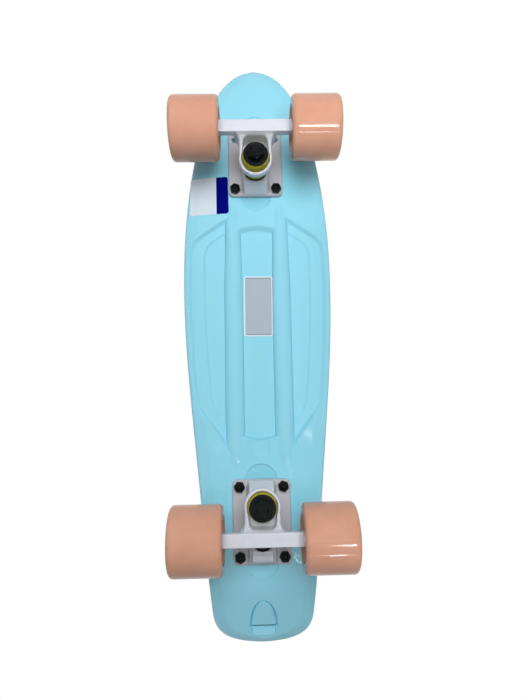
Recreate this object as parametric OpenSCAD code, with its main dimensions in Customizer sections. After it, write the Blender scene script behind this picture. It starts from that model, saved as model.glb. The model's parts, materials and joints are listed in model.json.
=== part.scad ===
// Small plastic cruiser skateboard: moulded deck, two traditional-kingpin trucks, four cast wheels.
// Millimetres. The board stands on its wheels: +Z is up, +Y points to the nose, and the origin is
// on the ground at the centre of the board's outline.

/* [Deck] */
// Overall length, nose tip to tail edge
deck_length = 582; // [578:0.5:588]
// Widest point of the deck, across the board
deck_width = 148; // [144:1:152]
// Thickness of the moulding between the truck pads
deck_thickness = 9.5; // [9:0.5:11]
// Rise of the deck's rim above the flat middle, on the underside
rim_rise = 3; // [2:0.5:4]
// Height of the nose tip above the truck pads
nose_rise = 6; // [3:1:9]
// Angle of the kicktail
tail_angle = 18; // [12:1:22]
// Depth of the long recess in the underside
recess_depth = 5; // [3:0.5:5.5]
// How far the two long ribs stand below the truck pads
rib_proud = 1.2; // [0.5:0.1:2]

/* [Truck] */
// Axle centre below the deck's truck pads
axle_height = 54; // [52:0.5:58]
// Length of the hanger, between the bearing shoulders
hanger_width = 76; // [74:1:78]
// Axle centre from the middle of the bolt pattern, towards the nose or tail
axle_offset = 5.8; // [5:0.1:6.5]
// Thickness of the base plate's flange
plate_thickness = 4.5; // [4:0.5:5]
// Kingpin diameter
kingpin_d = 9.5; // [9:0.1:9.6]
// Axle diameter
axle_d = 8; // [7.9:0.05:8]

/* [Wheel] */
// Wheel diameter
wheel_d = 59; // [56:1:60]
// Wheel width
wheel_width = 45; // [44:1:46]
// Radius of the wheel's lips
lip_radius = 4; // [3:0.5:5]

/* [Hidden] */
$fn = 72;

eps = 0.01;

// ---- Where things are -----------------------------------------------------------------------
nose_y = deck_length / 2;
tail_y = -deck_length / 2;
nose_overhang = 107.5;           // nose tip to the middle of the front bolt pattern
tail_overhang = 116.7;           // tail edge to the middle of the rear bolt pattern
front_y = nose_y - nose_overhang;
rear_y = tail_y + tail_overhang;
pad_z = axle_height + wheel_d / 2;   // height of the truck pads above the ground

// ---- Deck outline: half width along the board, in three curves --------------------------------
half_w = deck_width / 2;
widest_y = nose_y - 226.5;
corner_y = tail_y + 35.7;
corner_w = 48.85;
corner_lean = 0.09;              // slope of the side where it meets the tail's corner
NOSE_CURVE = [[0, nose_y], [54, nose_y], [half_w, widest_y + 92.3], [half_w, widest_y]];
SIDE_CURVE = [[half_w, widest_y], [half_w, widest_y - 86.7],
              [corner_w + 188 * corner_lean, corner_y + 188], [corner_w, corner_y]];
TAIL_CURVE = [[corner_w, corner_y], [corner_w - 16.2 * corner_lean, corner_y - 16.2],
              [46.7, tail_y], [0, tail_y]];

function bezier(p, t) = let (s = 1 - t)
    s * s * s * p[0] + 3 * s * s * t * p[1] + 3 * s * t * t * p[2] + t * t * t * p[3];
function bezier_slope(p, t) = let (s = 1 - t)
    3 * s * s * (p[1] - p[0]) + 6 * s * t * (p[2] - p[1]) + 3 * t * t * (p[3] - p[2]);
// the parameter at which a curve, which only ever runs towards the tail, reaches y
function bezier_at(p, y, low = 0, high = 1, steps = 22) = steps == 0 ? (low + high) / 2 :
    let (mid = (low + high) / 2)
    bezier(p, mid)[1] > y ? bezier_at(p, y, mid, high, steps - 1)
                          : bezier_at(p, y, low, mid, steps - 1);
function outline_curve(y) = y > widest_y ? NOSE_CURVE : y > corner_y ? SIDE_CURVE : TAIL_CURVE;
function half_width(y) = let (c = outline_curve(y)) bezier(c, bezier_at(c, y))[0];
// how much longer a step across the board is than a step square to the outline
function edge_stretch(y) = let (c = outline_curve(y), d = bezier_slope(c, bezier_at(c, y)))
    norm(d) / max(abs(d[1]), eps);

// ---- Deck surface heights above the truck pads ------------------------------------------------
function smooth(t) = let (c = min(max(t, 0), 1)) c * c * (3 - 2 * c);
function smooth_min(a, b, r) = let (h = max(r - abs(a - b), 0) / r) min(a, b) - h * h * r / 4;

nose_bend_y = front_y + 46;
kick_y = rear_y - 43;
kick_radius = 80;
kick_blend = kick_radius * sin(tail_angle);
function long_rise(y) = y > nose_bend_y ?
        nose_rise * pow((y - nose_bend_y) / (nose_y - nose_bend_y), 2) :
    y > kick_y ? 0 :
    kick_y - y < kick_blend ? kick_radius - sqrt(pow(kick_radius, 2) - pow(kick_y - y, 2)) :
    kick_radius * (1 - cos(tail_angle)) + (kick_y - y - kick_blend) * tan(tail_angle);

rim_band = 14;                   // width of the raised rim on the underside
dish_band = 26;                  // width of the raised rim on the top
dish_rise = 2.5;                 // how far the top's rim stands above its flat middle
edge_depth = 2.4;                // how far in the rounded edge reaches
edge_half = (deck_thickness + dish_rise - rim_rise) / 2;
function rounding(e) = e >= edge_depth ? 0 :
    edge_half * (1 - sqrt(1 - pow(1 - e / edge_depth, 2)));

// long recess: an outer wall and an inner step follow the outline and close in at angled ends;
// between the ribs it is one flat floor with a curved wall at each end
recess_margin = 5.3;
step_margin = 20.1;
recess_corner = 9;
wall_width = 4;
step_width = 3.2;
nose_wall = 5;
tail_wall = 3;
function ramp(t) = min(max(t, 0), 1);
function nose_end(x, y) = (front_y - 78.9 + (59 - x) * 0.69 - y) / norm([1, 0.69]);
function tail_end(x, y) = let (u = 54 - x)
    (y - rear_y - 97.1 + 1.113 * u + 0.013 * u * u) / norm([1, 1.113 + 0.026 * u]);
function wall_inside(x, y, e) =
    smooth_min(e - recess_margin, min(nose_end(x, y), tail_end(x, y)), recess_corner);
function step_inside(x, y, e) = smooth_min(e - step_margin,
    min(nose_end(x, y) - 11.3, tail_end(x, y) - 10.3), recess_corner);
nose_arc = 0.011;                // how the end walls between the ribs curve
tail_arc = 0.0125;
nose_arc_y = front_y - 68;
tail_arc_y = rear_y + 74.2;
function recess_cut(x, y, e) = recess_depth * (x < rib_x ?
    min(ramp((nose_arc_y - nose_arc * x * x - y) / nose_wall),
        ramp((y - tail_arc_y - tail_arc * x * x) / tail_wall)) :
    let (d = wall_inside(x, y, e)) 0.45 * ramp(d / wall_width) + 0.15 * ramp((d - wall_width) / 7)
        + 0.4 * ramp(step_inside(x, y, e) / step_width));

rib_x = 24;
rib_cap = 22;                    // length over which a rib's end rounds off
rib_nose_y = front_y - 61;
rib_tail_y = rear_y + 65;
rib_height = recess_depth + rib_proud;
function rib_half(y) = 8 + 1.4 * smooth((front_y - 70 - y) / 75);
function rib_drop(x, y) = let (
        over = max(max(y - rib_nose_y, rib_tail_y - y), 0) / rib_cap,
        across = (x - rib_x) / rib_half(y))
    rib_height * sqrt(max(1 - over * over - across * across, 0)) - recess_depth;

function underside_z(x, y, w, stretch) = let (e = (w - x) / stretch)
    long_rise(y) + rounding(e)
        + min(rim_rise * pow(max(1 - e / rim_band, 0), 2) + recess_cut(x, y, e), -rib_drop(x, y));
function top_z(x, w, y, stretch) = let (e = (w - abs(x)) / stretch)
    long_rise(y) + deck_thickness + dish_rise * smooth(1 - (e - edge_depth) / dish_band)
        - rounding(e);

// stations along the board: close together at the ends and where the recess and ribs run out
STATIONS = concat(
    [for (k = [1:10]) nose_y - (nose_y - nose_bend_y) * pow(k / 10, 2)],
    [for (d = [32:-14:-24]) front_y + d],
    [for (d = [-36:-4:-64]) front_y + d],
    [nose_arc_y, nose_arc_y - nose_wall],
    [for (d = [-76:-4:-104]) front_y + d],
    [for (k = [1:9]) front_y - 104 + (rear_y + 130 - front_y + 104) * k / 10],
    [for (d = [130:-4:78]) rear_y + d],
    [tail_arc_y + tail_wall, tail_arc_y],
    [for (d = [70:-4:46]) rear_y + d],
    [for (d = [32:-16:-32]) rear_y + d],
    [for (k = [0:11]) tail_y + (kick_y - tail_y) * pow(1 - k / 12, 1.7)]);

// the widest place at which one of the recess's two slopes still reaches a depth into it
function level_x(y, w, stretch, step, depth, low, high, steps = 14) = steps == 0 ? low :
    let (mid = (low + high) / 2, e = (w - mid) / stretch,
         d = step ? step_inside(mid, y, e) : wall_inside(mid, y, e))
    d > depth ? level_x(y, w, stretch, step, depth, mid, high, steps - 1)
              : level_x(y, w, stretch, step, depth, low, mid, steps - 1);

function sorted(v) = len(v) < 2 ? v : let (pivot = v[0], rest = [for (k = [1:len(v) - 1]) v[k]])
    concat(sorted([for (x = rest) if (x < pivot) x]), [pivot],
           sorted([for (x = rest) if (x >= pivot) x]));
function spread(v, gap) = [for (k = [0:len(v) - 1]) max([for (j = [0:k]) v[j] + gap * (k - j)])];

EDGE_STEPS = [0, 0.18, 0.72, edge_depth];
// places across half the board, from the middle out: ribs, recess walls, rim and rounded edge
function columns(y, w, stretch) = let (
        s = min(stretch, w / (2 * edge_depth)),
        inner = w - edge_depth * s,
        squeeze = min(1, inner / 60),
        rib_side = rib_x + rib_half(y),
        levels = [for (a = [[true, step_width], [true, 0], [false, wall_width], [false, 0]])
            level_x(y, w, stretch, a[0], a[1], rib_side, max(inner, rib_side)) * squeeze],
        rim = [for (e = [rim_band, 8]) w - min(e * s, w * e / 36)])
    concat([0, 8 * squeeze],
           [for (k = [-1, -0.82, -0.58, 0, 0.58, 0.82, 1]) (rib_x + rib_half(y) * k) * squeeze],
           spread(sorted(concat([for (x = levels) max(x, (rib_side + 0.2) * squeeze)], rim)),
                  0.25 * squeeze),
           [for (k = [len(EDGE_STEPS) - 1:-1:0]) w - EDGE_STEPS[k] * s]);
function top_columns(w, stretch) = let (
        s = min(stretch, w / (2 * edge_depth)), inner = w - edge_depth * s)
    concat([for (f = [0, 1 - 26 / 56, 1 - 14 / 56]) f * inner],
           [for (k = [len(EDGE_STEPS) - 1:-1:1]) w - EDGE_STEPS[k] * s]);

// the stations bend with the curved end walls between the ribs
function bend(x, y) = let (
        inner = rib_x - rib_half(y), outer = rib_x + rib_half(y),
        across = x < inner ? x * x : inner * inner * max(outer - x, 0) / (outer - inner))
    across * (tail_arc * ramp(1.5 - abs(y - tail_arc_y) / 16)
        - nose_arc * ramp(1.5 - abs(y - nose_arc_y) / 16));
function under_point(x, y, w, stretch) = let (a = abs(x), v = y + bend(a, y))
    [x, v, pad_z + underside_z(a, v, w, stretch)];

// one closed ring of points: across the underside from -X to +X, then back over the top
function ring(y) = let (
        w = half_width(y), st = edge_stretch(y), c = columns(y, w, st), t = top_columns(w, st),
        n = len(c) - 1, m = len(t) - 1)
    concat(
        [for (k = [n:-1:1]) under_point(-c[k], y, w, st)],
        [for (k = [0:n]) under_point(c[k], y, w, st)],
        [for (k = [m:-1:0]) [t[k], y, pad_z + top_z(t[k], w, y, st)]],
        [for (k = [1:m]) [-t[k], y, pad_z + top_z(t[k], w, y, st)]]);

module deck_blank() {
    rings = [for (y = STATIONS) ring(y)];
    size = len(rings[0]);
    last = len(rings) - 1;
    edge_z = rim_rise + edge_half;
    nose_point = [0, nose_y, pad_z + long_rise(nose_y) + edge_z];
    tail_point = [0, tail_y, pad_z + long_rise(tail_y) + edge_z];
    points = concat([for (r = rings) each r], [nose_point, tail_point]);
    nose_index = size * len(rings);
    tail_index = nose_index + 1;
    faces = concat(
        [for (j = [0:size - 1]) [nose_index, j, (j + 1) % size]],
        [for (i = [0:last - 1], j = [0:size - 1]) let (a = i * size + j, b = i * size + (j + 1) % size)
            each [[a, a + size, b], [b, a + size, b + size]]],
        [for (j = [0:size - 1]) [tail_index, last * size + (j + 1) % size, last * size + j]]);
    polyhedron(points, faces, convexity = 10);
}

pattern_x = 41.3;                // hole spacing across the board
pattern_y = 63.5;                // hole spacing along the board
bolt_d = 4.8;
bolt_head_d = 9.6;
bolt_head_h = 2.6;
module at_bolts() for (x = [-1, 1], y = [-1, 1]) translate([x * pattern_x / 2, y * pattern_y / 2, 0])
    children();

module slot_solid(length, radius, height) {
    for (s = [-1, 1]) translate([0, s * (length / 2 - radius), 0]) cylinder(r = radius, h = height);
    translate([-radius, radius - length / 2, 0]) cube([2 * radius, length - 2 * radius, height]);
}

pocket_depth = 1.5;
tab_r = 8.6;
// arch-shaped scoop in the tail: its point, its foot and the finger step behind the foot
arch_length = 26.4;
arch_half = 13.2;
step_length = 8.8;
step_half = 11.2;
arch_y = rear_y - 99;
function arch_points(n = 12) = concat(
    [for (k = [0:n]) [arch_half * sin(90 * k / n), arch_length * cos(90 * k / n)]],
    [for (k = [n:-1:1]) [-arch_half * sin(90 * k / n), arch_length * cos(90 * k / n)]]);

module deck() color([0.62, 0.85, 0.91]) difference() {
    deck_blank();
    for (y = [front_y, rear_y]) translate([0, y, pad_z]) {
        at_bolts() {
            translate([0, 0, -5]) cylinder(d = bolt_d + 0.6, h = 30);
            translate([0, 0, deck_thickness - bolt_head_h])
                cylinder(d1 = bolt_d + 0.6, d2 = bolt_head_d + 0.6, h = bolt_head_h + eps);
            translate([0, 0, deck_thickness]) cylinder(d = bolt_head_d + 0.6, h = 5);
        }
    }
    // shallow slots that clear the kingpin heads
    for (s = [[front_y - 0.9, 102], [rear_y - 0.5, 105]]) translate([0, s[0], pad_z - 5])
        slot_solid(s[1], 15, 5 + pocket_depth);
    // small rounded tab behind the recess
    translate([0, rear_y + 66.4, pad_z - 2]) {
        cylinder(r = tab_r, h = 2.6);
        translate([-tab_r, 0, 0]) cube([2 * tab_r, 9, 2.6]);
    }
    // arch-shaped scoop and the finger step behind it, square to the tail
    translate([0, arch_y, pad_z + long_rise(arch_y)]) rotate([-tail_angle, 0, 0]) {
        translate([0, 0, -6]) linear_extrude(7) polygon(arch_points());
        // the step's floor is level, so it is deepest at the scoop's foot
        translate([-step_half, -step_length, 0.2]) rotate([tail_angle, 0, 0]) translate([0, 0, -8])
            cube([2 * step_half, step_length / cos(tail_angle), 8]);
    }
}

// ---- Truck: drawn base plate down, axle up, with +Y towards the pivot ---------------------------
module truck_at(front) translate([0, front ? front_y : rear_y, pad_z])
    rotate(front ? [0, 180, 0] : [180, 0, 0]) children();

kingpin_y = -19;
seat_h = 40;                     // centre of the bushing seat above the deck
pivot_y = 18.5;                  // middle of the pivot cup's mouth
pivot_h = 21;
pivot_tilt = atan2(seat_h - pivot_h, pivot_y - kingpin_y);
// along the pivot axis, from the cup's mouth into the cup
module along_pivot() translate([0, pivot_y, pivot_h]) rotate([-90 - pivot_tilt, 0, 0]) children();

plate_l = 78;
plate_w = 55;
plate_shift = 0.5;
boss_h = 20;
boss_r = 12.5;
housing_half = 9.8;
hole_d = 5.6;
spare_hole_y = pattern_y / 2 - 9.5;

module rounded_plate(l, w, r, h) {
    for (x = [-1, 1], y = [-1, 1]) translate([x * (w / 2 - r), y * (l / 2 - r), 0]) cylinder(r = r, h = h);
    translate([-w / 2 + r, -l / 2, 0]) cube([w - 2 * r, l, h]);
    translate([-w / 2, -l / 2 + r, 0]) cube([w, l - 2 * r, h]);
}
module side_profile(points, half) rotate([90, 0, 90]) translate([0, 0, -half])
    linear_extrude(2 * half) polygon(points);

nut_af = 14.3;
nose_r = 4.8;                    // pivot nose radius
nose_reach = 3;                  // from the cup's mouth to the centre of the nose's round end
cup_r = 7.2;
cup_depth = 9.4;
module baseplate(front) color([0.87, 0.87, 0.9]) truck_at(front) difference() {
    union() {
        translate([0, plate_shift, 0]) rounded_plate(plate_l, plate_w, 5, plate_thickness);
        // kingpin block, with its ramp to the inboard edge
        side_profile([[-37.6, 1], [-37.6, plate_thickness + 0.7], [-31.5, boss_h - 1.2],
                      [-30, boss_h], [-8, boss_h], [-3, 12], [10, 9.5], [10, 1]], boss_r);
        // pivot housing
        side_profile([[6, 1], [10, 9.5], [14.3, 12.6], [22.3, 28.6], [25.9, 26.2],
                      [31.8, 23.8], [37.6, plate_thickness + 0.7], [37.6, 1]], housing_half);
        side_profile([[8, 1], [8, 9.5], [28, 15], [37.6, plate_thickness + 0.4], [37.6, 1]], boss_r);
    }
    at_bolts() translate([0, 0, -1]) cylinder(d = hole_d, h = 20);
    for (x = [-1, 1]) translate([x * pattern_x / 2, spare_hole_y, -1]) cylinder(d = hole_d, h = 20);
    translate([0, kingpin_y, -1]) cylinder(d = kingpin_d + 0.1, h = boss_h + 2);
    translate([0, kingpin_y, -1]) cylinder(d = nut_af / cos(30) + 0.4, h = 6, $fn = 6);
    along_pivot() translate([0, 0, -14]) cylinder(r = cup_r, h = 14 + cup_depth);
}

module pivot_cup(front) color([0.08, 0.08, 0.09]) truck_at(front) along_pivot() rotate_extrude()
    difference() {
        union() {
            square([cup_r, cup_depth]);
            translate([0, -1.2]) square([cup_r, 1.2 + eps]);
        }
        translate([0, -5]) square([nose_r + 0.1, 5 + nose_reach]);
        translate([0, nose_reach]) circle(r = nose_r + 0.1);
        translate([-20, -20]) square([20, 60]);
    }

bar_r = 6;                       // back of the axle bar, and half its width
bar_face = 6;                    // from the axle to the bar's flat face
ring_r = 15.8;
window_r = 12.9;
seat_low = 36.6;
seat_top = 39.6;
flat_half = 34.5;                // the bar is flat-faced to here and round beyond
module bar_section() {
    circle(r = bar_r);
    translate([-bar_r, 0]) square([2 * bar_r, bar_face]);
}
module fillet_corner(r) difference() {
    square([r, r]);
    translate([r, r]) circle(r = r);
}
module ring_plan() {
    translate([0, kingpin_y]) circle(r = ring_r);
    translate([-15.4, kingpin_y]) square([30.8, axle_offset - kingpin_y]);
    for (s = [0, 1]) mirror([s, 0]) translate([15.4, 0]) mirror([0, 1]) scale([0.55, 1.2])
        fillet_corner(6.5);
}
module window_plan() {
    translate([0, kingpin_y]) circle(r = window_r);
    translate([-12.4, kingpin_y]) square([24.8, 11]);
    hull() {
        translate([-12.4, kingpin_y + 10]) square([24.8, 1]);
        for (s = [-1, 1]) translate([s * 7.4, -6.2]) circle(r = 4, $fn = 32);
    }
}
module hanger(front) color([0.9, 0.89, 0.93]) truck_at(front) difference() {
    union() {
        translate([0, axle_offset, axle_height]) {
            rotate([90, 0, 90]) translate([0, 0, -flat_half]) linear_extrude(2 * flat_half)
                bar_section();
            rotate([0, 90, 0]) cylinder(r = bar_r - 0.15, h = hanger_width, center = true);
        }
        // bushing ring and its arms, with a side view that sweeps up to the bar
        intersection() {
            linear_extrude(axle_height + bar_face - 2) ring_plan();
            side_profile([[-36, seat_low], [-36, 43.8], [-26, 44.4], [-18, 45.6], [-11, 48],
                          [-5, 52], [-1.5, 56.5], [axle_offset, axle_height + bar_face - 2],
                          [axle_offset, 44], [-2, seat_low]], 22);
        }
        // web from the bar and the ring down to the pivot nose
        hull() {
            translate([0, axle_offset, axle_height - 1.5]) rotate([0, 90, 0])
                cylinder(r = 4.3, h = 36, center = true, $fn = 32);
            along_pivot() translate([0, 0, -13]) cylinder(r = 7.5, h = 6, $fn = 32);
        }
        hull() {
            translate([-12, kingpin_y + 11, seat_low]) cube([24, 2, 3]);
            along_pivot() translate([0, 0, -13]) cylinder(r = 6.5, h = 5, $fn = 32);
            translate([-12, 1, 46]) cube([24, 3, 3]);
        }
        along_pivot() {
            translate([0, 0, -12]) cylinder(r = nose_r, h = 12 + nose_reach);
            translate([0, 0, nose_reach]) sphere(r = nose_r);
        }
    }
    translate([0, 0, seat_top]) linear_extrude(30) window_plan();
    translate([0, kingpin_y, 30]) cylinder(r = 8.2, h = 20);
    translate([0, kingpin_y, boss_h + 0.6 - eps])
        cylinder(r = 13.4, h = seat_low - boss_h - 0.6 + eps);
    translate([0, axle_offset, axle_height]) rotate([0, 90, 0])
        cylinder(d = axle_d + 0.02, h = 2 * hanger_width, center = true);
}

bearing_w = 7;
spacer_l = 10;
washer_t = 1;
axle_nut_h = 8;
axle_length = hanger_width + 2 * (2 * bearing_w + spacer_l + 2 * washer_t + axle_nut_h + 1);
module axle(front) color([0.7, 0.71, 0.73]) truck_at(front)
    translate([0, axle_offset, axle_height]) rotate([0, 90, 0]) {
        cylinder(d = axle_d, h = axle_length - 2, center = true);
        for (s = [0, 1]) mirror([0, 0, s]) translate([0, 0, axle_length / 2 - 1])
            cylinder(d1 = axle_d, d2 = axle_d - 2, h = 1);
    }

kingpin_end = 65;
module kingpin(front) color([0.1, 0.1, 0.11]) truck_at(front) translate([0, kingpin_y, 0]) {
    translate([0, 0, -1]) cylinder(d = nut_af / cos(30), h = 6 - eps, $fn = 6);
    translate([0, 0, 4]) cylinder(d = kingpin_d, h = kingpin_end - 5);
    translate([0, 0, kingpin_end - 1]) cylinder(d1 = kingpin_d, d2 = kingpin_d - 2, h = 1);
}

module hex_nut(af, h, bore, collar) difference() {
    union() {
        intersection() {
            cylinder(d = af / cos(30), h = h - collar, $fn = 6);
            cylinder(d1 = af - 0.4 + 2 * h, d2 = af - 0.4, h = h);
            cylinder(d1 = af - 0.4, d2 = af - 0.4 + 2 * h, h = h);
        }
        cylinder(d = af - 1.6, h = h - 0.8);
        translate([0, 0, h - 0.8]) cylinder(d1 = af - 1.6, d2 = af - 3, h = 0.8);
    }
    translate([0, 0, -1]) cylinder(d = bore, h = h + 2);
}

outer_skirt_h = 51.6;            // underside of the outer cup washer's skirt
outer_washer_h = 3;
inner_washer_h = 4.4;
washer_floor = 1.6;
washer_r = 11.7;
module kingpin_nut(front) color([0.08, 0.08, 0.09]) truck_at(front)
    translate([0, kingpin_y, outer_skirt_h + outer_washer_h]) hex_nut(nut_af, 8.6, kingpin_d + 0.04, 2.4);

// pressed cup washer, open side down
module cup_washer(h) rotate_extrude() difference() {
    union() {
        square([washer_r - 1.2, h]);
        square([washer_r, h - 1.2]);
        translate([washer_r - 1.2, h - 1.2]) circle(r = 1.2);
    }
    translate([-30, -1]) square([30 + kingpin_d / 2 + 0.1, 10]);
    translate([0, -1]) square([washer_r - 1.2, 1 + h - washer_floor]);
}
module outer_cup_washer(front) color([0.08, 0.08, 0.09]) truck_at(front)
    translate([0, kingpin_y, outer_skirt_h]) cup_washer(outer_washer_h);
module inner_cup_washer(front) color([0.08, 0.08, 0.09]) truck_at(front)
    translate([0, kingpin_y, boss_h + inner_washer_h]) mirror([0, 0, 1]) cup_washer(inner_washer_h);

outer_bush_r = 12.4;
inner_bush_r = 11.7;
neck_r = washer_r - 1.3;
// bushing from its seat on the ring out to the floor of its washer, with a neck inside the skirt
module bushing(r, length, neck) rotate_extrude() difference() {
    polygon([[0, 0], [r - 0.6, 0], [r, 0.6], [r, length - neck - 1.3],
             [r - 0.6, length - neck - 0.5], [neck_r, length - neck], [neck_r, length - 0.4],
             [neck_r - 0.4, length], [0, length]]);
    translate([-1, -1]) square([1 + kingpin_d / 2 + 0.3, length + 2]);
}
module outer_bushing(front) color([0.62, 0.58, 0.1]) truck_at(front)
    translate([0, kingpin_y, seat_top])
        bushing(outer_bush_r, outer_skirt_h + outer_washer_h - washer_floor - seat_top,
                outer_washer_h - 1.1);
module inner_bushing(front) color([0.62, 0.58, 0.1]) truck_at(front)
    translate([0, kingpin_y, seat_low]) mirror([0, 0, 1])
        bushing(inner_bush_r, seat_low - boss_h - washer_floor, inner_washer_h - 1.1);

nut_h = 5.6;
bolt_end = plate_thickness + nut_h - 0.8;
module mounting_bolts(front) color([0.1, 0.1, 0.11]) truck_at(front) at_bolts() {
    translate([0, 0, -deck_thickness]) cylinder(d1 = bolt_head_d, d2 = bolt_d, h = bolt_head_h);
    translate([0, 0, -deck_thickness + 1]) cylinder(d = bolt_d, h = deck_thickness - 1 + bolt_end);
}
module mounting_nuts(front) color([0.08, 0.08, 0.09]) truck_at(front) at_bolts()
    translate([0, 0, plate_thickness]) rotate([0, 0, 12]) hex_nut(9.4, nut_h, bolt_d + 0.04, 1.4);

// ---- Wheels: drawn along +Z from the truck's centre line outwards --------------------------------
module wheel_at(front, left) translate([0, front ? front_y + axle_offset : rear_y - axle_offset,
                                        wheel_d / 2]) rotate([0, left ? -90 : 90, 0]) children();

inner_bearing = hanger_width / 2 + washer_t;
outer_bearing = inner_bearing + bearing_w + spacer_l;
wheel_inner = 33.3;
wheel_outer = wheel_inner + wheel_width;
race_r = 11;
module wheel(front, left) color([0.87, 0.66, 0.55]) wheel_at(front, left) rotate_extrude()
    difference() {
        union() {
            for (z = [wheel_inner + lip_radius, wheel_outer - lip_radius])
                translate([wheel_d / 2 - lip_radius, z]) circle(r = lip_radius);
            translate([0, wheel_inner + lip_radius])
                square([wheel_d / 2, wheel_width - 2 * lip_radius]);
            translate([0, wheel_inner]) square([wheel_d / 2 - lip_radius, wheel_width]);
        }
        translate([-50, 0]) square([50 + race_r - 2, 100]);
        for (z = [inner_bearing, outer_bearing]) square_at(z);
        // dished faces down to the bearing seats
        polygon([[0, wheel_inner - 1], [20.5, wheel_inner - 1], [19, wheel_inner + 1.2],
                 [13.5, inner_bearing - 1.5], [12, inner_bearing], [0, inner_bearing]]);
        polygon([[0, wheel_outer + 1], [22.5, wheel_outer + 1], [21, wheel_outer - 1.4],
                 [13.5, outer_bearing + bearing_w + 2.5], [12, outer_bearing + bearing_w],
                 [0, outer_bearing + bearing_w]]);
    }
module square_at(z) translate([0, z]) square([race_r, bearing_w]);

// 608 ball bearing: 8 mm bore, 22 mm outside, seven balls on a 15 mm circle
pitch_r = 7.5;
ball_r = 1.985;
groove_r = ball_r + 0.03;
ball_count = 7;
module at_bearings() for (z = [inner_bearing, outer_bearing])
    translate([0, 0, z + bearing_w / 2]) children();
module race(inside, outside, half) rotate_extrude() difference() {
    translate([inside, -half]) square([outside - inside, 2 * half]);
    translate([pitch_r, 0]) circle(r = groove_r);
}
module outer_races(front, left) color([0.72, 0.73, 0.75]) wheel_at(front, left) at_bearings() {
    race(9.5, race_r, bearing_w / 2);
    for (s = [-1, 1]) translate([0, 0, s * (bearing_w / 2 - 0.5) - 0.2]) difference() {
        cylinder(r = 9.6, h = 0.4);
        translate([0, 0, -1]) cylinder(r = 6.2, h = 3);
    }
}
module inner_races(front, left) color([0.72, 0.73, 0.75]) wheel_at(front, left) at_bearings()
    race(axle_d / 2 + 0.01, 5.95, bearing_w / 2);
module at_balls() for (k = [0:ball_count - 1]) rotate([0, 0, 360 * k / ball_count])
    translate([pitch_r, 0, 0]) children();
module balls(front, left) color([0.8, 0.81, 0.83]) wheel_at(front, left) at_bearings() at_balls()
    sphere(r = ball_r);
module cages(front, left) color([0.6, 0.6, 0.58]) wheel_at(front, left) at_bearings() difference() {
    translate([0, 0, -2.4]) cylinder(r = 7.9, h = 4.8);
    translate([0, 0, -3]) cylinder(r = 7.1, h = 6);
    at_balls() rotate([0, 90, 0]) cylinder(r = ball_r + 0.06, h = 3, center = true);
}
module tube(outside, inside, h) difference() {
    cylinder(d = outside, h = h);
    translate([0, 0, -1]) cylinder(d = inside, h = h + 2);
}
module spacer(front, left) color([0.75, 0.76, 0.78]) wheel_at(front, left)
    translate([0, 0, inner_bearing + bearing_w]) tube(10.5, axle_d + 0.1, spacer_l);
module speed_washers(front, left) color([0.75, 0.76, 0.78]) wheel_at(front, left)
    for (z = [hanger_width / 2, outer_bearing + bearing_w]) translate([0, 0, z])
        tube(11.6, axle_d + 0.1, washer_t);
module axle_nut(front, left) color([0.75, 0.76, 0.78]) wheel_at(front, left)
    translate([0, 0, outer_bearing + bearing_w + washer_t]) hex_nut(12.7, axle_nut_h, axle_d + 0.02, 2.2);

deck();
for (front = [true, false]) {
    end = front ? "front_" : "rear_";
    baseplate(front);
    pivot_cup(front);
    hanger(front);
    axle(front);
    kingpin(front);
    kingpin_nut(front);
    outer_cup_washer(front);
    inner_cup_washer(front);
    outer_bushing(front);
    inner_bushing(front);
    mounting_bolts(front);
    mounting_nuts(front);
    for (left = [true, false]) {
        corner = str(end, left ? "left_" : "right_");
        wheel(front, left);
        outer_races(front, left);
        balls(front, left);
        cages(front, left);
        inner_races(front, left);
        spacer(front, left);
        speed_washers(front, left);
        axle_nut(front, left);
    }
}
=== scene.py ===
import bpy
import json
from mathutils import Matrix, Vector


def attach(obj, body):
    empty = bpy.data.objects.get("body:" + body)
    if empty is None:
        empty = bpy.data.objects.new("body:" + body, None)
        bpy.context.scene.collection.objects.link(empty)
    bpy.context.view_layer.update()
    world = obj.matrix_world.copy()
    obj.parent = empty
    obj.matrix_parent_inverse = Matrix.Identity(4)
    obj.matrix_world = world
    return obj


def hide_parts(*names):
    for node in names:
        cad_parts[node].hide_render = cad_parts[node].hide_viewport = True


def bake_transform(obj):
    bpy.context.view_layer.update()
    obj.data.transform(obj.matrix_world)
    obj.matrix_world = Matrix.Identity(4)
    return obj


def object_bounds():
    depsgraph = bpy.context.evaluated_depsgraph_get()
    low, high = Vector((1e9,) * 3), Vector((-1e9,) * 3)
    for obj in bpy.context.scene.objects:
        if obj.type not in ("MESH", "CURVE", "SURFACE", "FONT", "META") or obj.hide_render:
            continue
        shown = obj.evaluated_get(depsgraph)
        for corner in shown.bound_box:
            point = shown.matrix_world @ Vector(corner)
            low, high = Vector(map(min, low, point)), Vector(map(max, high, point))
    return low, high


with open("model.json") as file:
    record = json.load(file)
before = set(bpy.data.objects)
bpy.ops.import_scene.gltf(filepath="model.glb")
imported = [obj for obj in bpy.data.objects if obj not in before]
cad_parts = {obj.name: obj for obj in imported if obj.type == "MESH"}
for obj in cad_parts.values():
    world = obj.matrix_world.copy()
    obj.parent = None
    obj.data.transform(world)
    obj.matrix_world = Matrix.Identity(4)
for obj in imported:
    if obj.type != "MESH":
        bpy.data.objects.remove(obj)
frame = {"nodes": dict(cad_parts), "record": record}        # bodies, nodes, joints, record
cad_box = [list(corner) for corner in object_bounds()]

import json
import math
from functools import reduce
from itertools import product

import bpy
import numpy as np
from mathutils import Matrix, Vector

MM = 0.001
ENDS = (("front", True), ("rear", False))

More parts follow.
